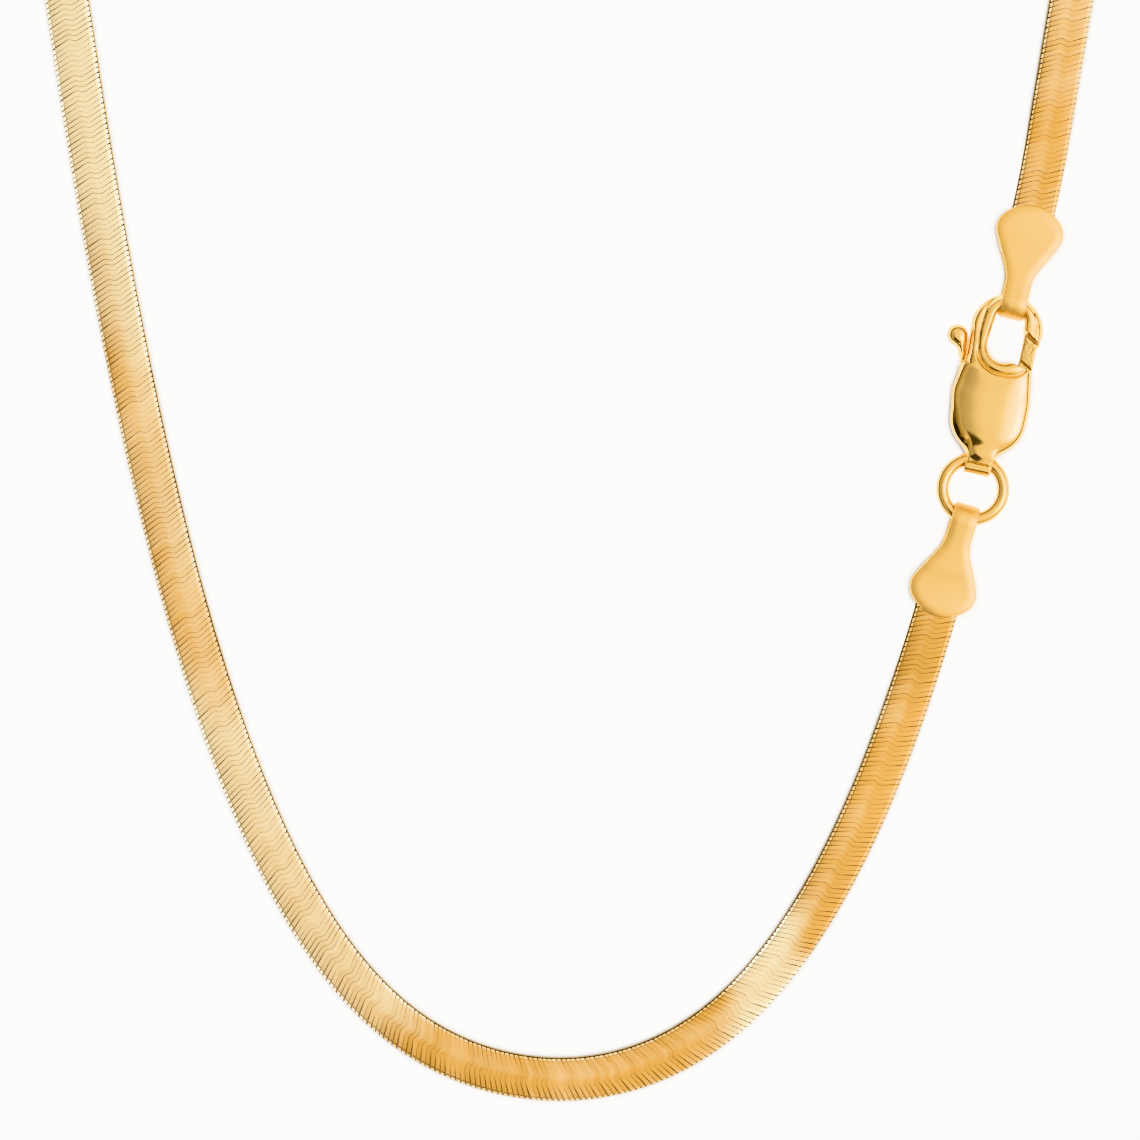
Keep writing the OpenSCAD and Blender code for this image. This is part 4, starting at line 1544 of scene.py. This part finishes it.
@dataclass
class Studio:
    """White table, soft studio light and a camera that looks straight down."""

    frame_width: float = 92.683
    centre: Point = (-0.36, -51.08)
    camera_height: float = 0.62
    paper: tuple[Colour, Colour] = ((0.20, 0.20, 0.20), (0.24, 0.24, 0.24))
    table_glow: float = 2.7
    painted_shadow_reach: float = 0.6
    painted_shadow_power: float = 3.0
    sky_level: float = 1.4
    right_gain: float = 0.45
    sky_stops: tuple[tuple[float, Colour], ...] = (
        (0.0, (0.12, 0.085, 0.045)), (0.22, (0.20, 0.15, 0.08)), (0.4, (0.58, 0.455, 0.28)),
        (0.62, (0.76, 0.64, 0.45)), (0.88, (0.97, 0.86, 0.68)), (1.0, (1.0, 0.90, 0.74)),
    )  # fmt: skip
    shades: tuple[Shade, ...] = (
        Shade(240, 59, 11, 15), Shade(242, 42, 10, 14), Shade(256, 48, 9, 13), Shade(224, 31, 4, 8, -1.0),
        Shade(228, 7, 12, 16), Shade(200, 7, 12, 16), Shade(190, 66, 8, 26, 0.42),
    )  # fmt: skip
    glare: Shade = Shade(-8, 50, 6, 32)
    glare_light: Colour = (4.2, 4.0, 3.7)
    table_half: float = 2.5

    def table(self) -> bpy.types.Object:
        """Lays the white table that the necklace rests on: it glows evenly, and its glow is dimmed right
        around the pieces as a painted contact shadow.

        Returns:
            The table, marked as stage.
        """
        h = self.table_half
        corners = np.array([(-h, -h, 0), (h, -h, 0), (h, h, 0), (-h, h, 0)])
        top = new_piece("white_table", corners, [(0, 1, 2, 3)], False)
        paper = bpy.data.materials.new("white_table_top")
        paper.use_nodes = True
        wiring = Wiring(paper.node_tree)
        where = wiring.add("ShaderNodeTexCoord").outputs["Object"]
        colour = wiring.mix(wiring.noise(where, 0.05), *self.paper)
        # Painted contact shadow: the table's glow fades where the pieces are close by.
        reach = {"Distance": self.painted_shadow_reach * MM}
        open_air = wiring.add("ShaderNodeAmbientOcclusion", reach, samples=8).outputs["AO"]
        glow = wiring.math("MULTIPLY", wiring.math("POWER", open_air, self.painted_shadow_power), self.table_glow)
        shader = wiring.add("ShaderNodeBsdfPrincipled", {"Base Color": colour, "Emission Strength": glow})
        shader.inputs["Roughness"].default_value = 0.9
        shader.inputs["Specular IOR Level"].default_value = 0.0
        shader.inputs["Emission Color"].default_value = (0.99, 0.995, 1.0, 1.0)
        wiring.add("ShaderNodeOutputMaterial", {0: shader.outputs[0]})
        top.data.materials.append(paper)
        return top

    @staticmethod
    def patch(wiring: Wiring, way: Socket, shade: Shade) -> Socket:
        """Marks a soft round patch of the surroundings.

        Args:
            wiring: The world's tree.
            way: Direction of view.
            shade: The patch.

        Returns:
            Socket with 1 inside the patch and 0 outside.
        """
        a, e = math.radians(shade.azimuth), math.radians(shade.height)
        axis = (math.cos(a) * math.cos(e), math.sin(a) * math.cos(e), math.sin(e))
        near = wiring.add("ShaderNodeVectorMath", {0: way, 1: axis}, operation="DOT_PRODUCT").outputs["Value"]
        inner, outer = (math.cos(math.radians(v)) for v in (shade.inner, shade.outer))
        spread = {"Value": near, "From Min": outer, "From Max": inner}
        return wiring.out("ShaderNodeMapRange", spread, interpolation_type="SMOOTHSTEP")

    def sky(self) -> None:
        """Surrounds the scene with soft light, dim near the horizon, brighter above and at the right."""
        world = bpy.data.worlds.new("studio")
        bpy.context.scene.world = world
        world.use_nodes = True
        wiring = Wiring(world.node_tree)
        way = wiring.add("ShaderNodeTexCoord").outputs["Generated"]
        parts = wiring.add("ShaderNodeSeparateXYZ", {0: way}).outputs
        ramp = wiring.add("ShaderNodeValToRGB", {0: parts["Z"]})
        stops = ramp.color_ramp.elements
        for i, (height, colour) in enumerate(self.sky_stops):
            stop = stops[i] if i < len(stops) else stops.new(height)
            stop.position, stop.color = height, (*colour, 1.0)
        sides = wiring.math("MULTIPLY_ADD", parts["X"], self.right_gain, 1.0)
        level = wiring.math("MULTIPLY", sides, self.sky_level)
        for shade in self.shades:
            dark = self.patch(wiring, way, shade)
            level = wiring.math("MULTIPLY", level, wiring.math("MULTIPLY_ADD", dark, -shade.strength, 1.0))
        bright = self.patch(wiring, way, self.glare)
        kind = "ShaderNodeVectorMath"
        tone = wiring.out(kind, {0: ramp.outputs[0], "Scale": level}, operation="SCALE")
        glare = wiring.out(kind, {0: bright, 1: self.glare_light, 2: tone}, operation="MULTIPLY_ADD")
        back = wiring.out("ShaderNodeBackground", {"Color": glare, "Strength": 1.0})
        wiring.add("ShaderNodeOutputWorld", {0: back})

    def panel(self, name: str, at: Sequence[float], size: float, power: float) -> None:
        """Hangs a soft square light that faces the necklace.

        Args:
            name: Its name.
            at: Its place in metres.
            size: Its side.
            power: Its power in watts.
        """
        light = bpy.data.lights.new(name, "AREA")
        light.energy, light.size = power, size
        lamp = place(name, light)
        lamp.location = at
        aim = Vector((self.centre[0] * MM, self.centre[1] * MM, 0)) - Vector(at)
        lamp.rotation_euler = aim.to_track_quat("-Z", "Y").to_euler()

    def camera(self) -> None:
        """Sets the camera over the front of the necklace."""
        lens = bpy.data.cameras.new("overhead")
        lens.sensor_width = 36.0
        lens.lens = 36.0 * self.camera_height / (self.frame_width * MM)
        lens.clip_start, lens.clip_end = 0.01, 20.0
        eye = place("overhead", lens)
        eye.location = (self.centre[0] * MM, self.centre[1] * MM, self.camera_height + 0.001)
        bpy.context.scene.camera = eye

    def build(self) -> None:
        """Sets the whole studio up."""
        bpy.context.scene.view_settings.view_transform = "Khronos PBR Neutral"
        self.camera()
        self.table()
        self.sky()
        self.panel("key_panel", at=(0.55, -0.25, 0.6), size=0.3, power=1.5)


def main() -> None:
    """Builds the chain, its tabs, the ring and the clasp, and reports each piece."""
    logging.basicConfig(level=logging.INFO, format="%(message)s")
    route = Route()
    spots = route.places()["spots"]
    Studio().build()
    pieces = Chain(route).build()
    pieces.append(EndTab("tab_behind_hook", "hook_end_tab", spots["hook_tab"]).build())
    pieces.append(EndTab("tab_at_ring", "ring_end_tab", spots["ring_tab"]).build())
    pieces.append(JumpRing(spots["ring"]).build())
    pieces += Clasp(spots["clasp"]).build()
    for piece in pieces:
        count = sum(len(f.vertices) - 2 for f in piece.data.polygons)
        LOG.info("%s: %d triangles", piece.name, count)


if __name__ == "__main__":
    main()
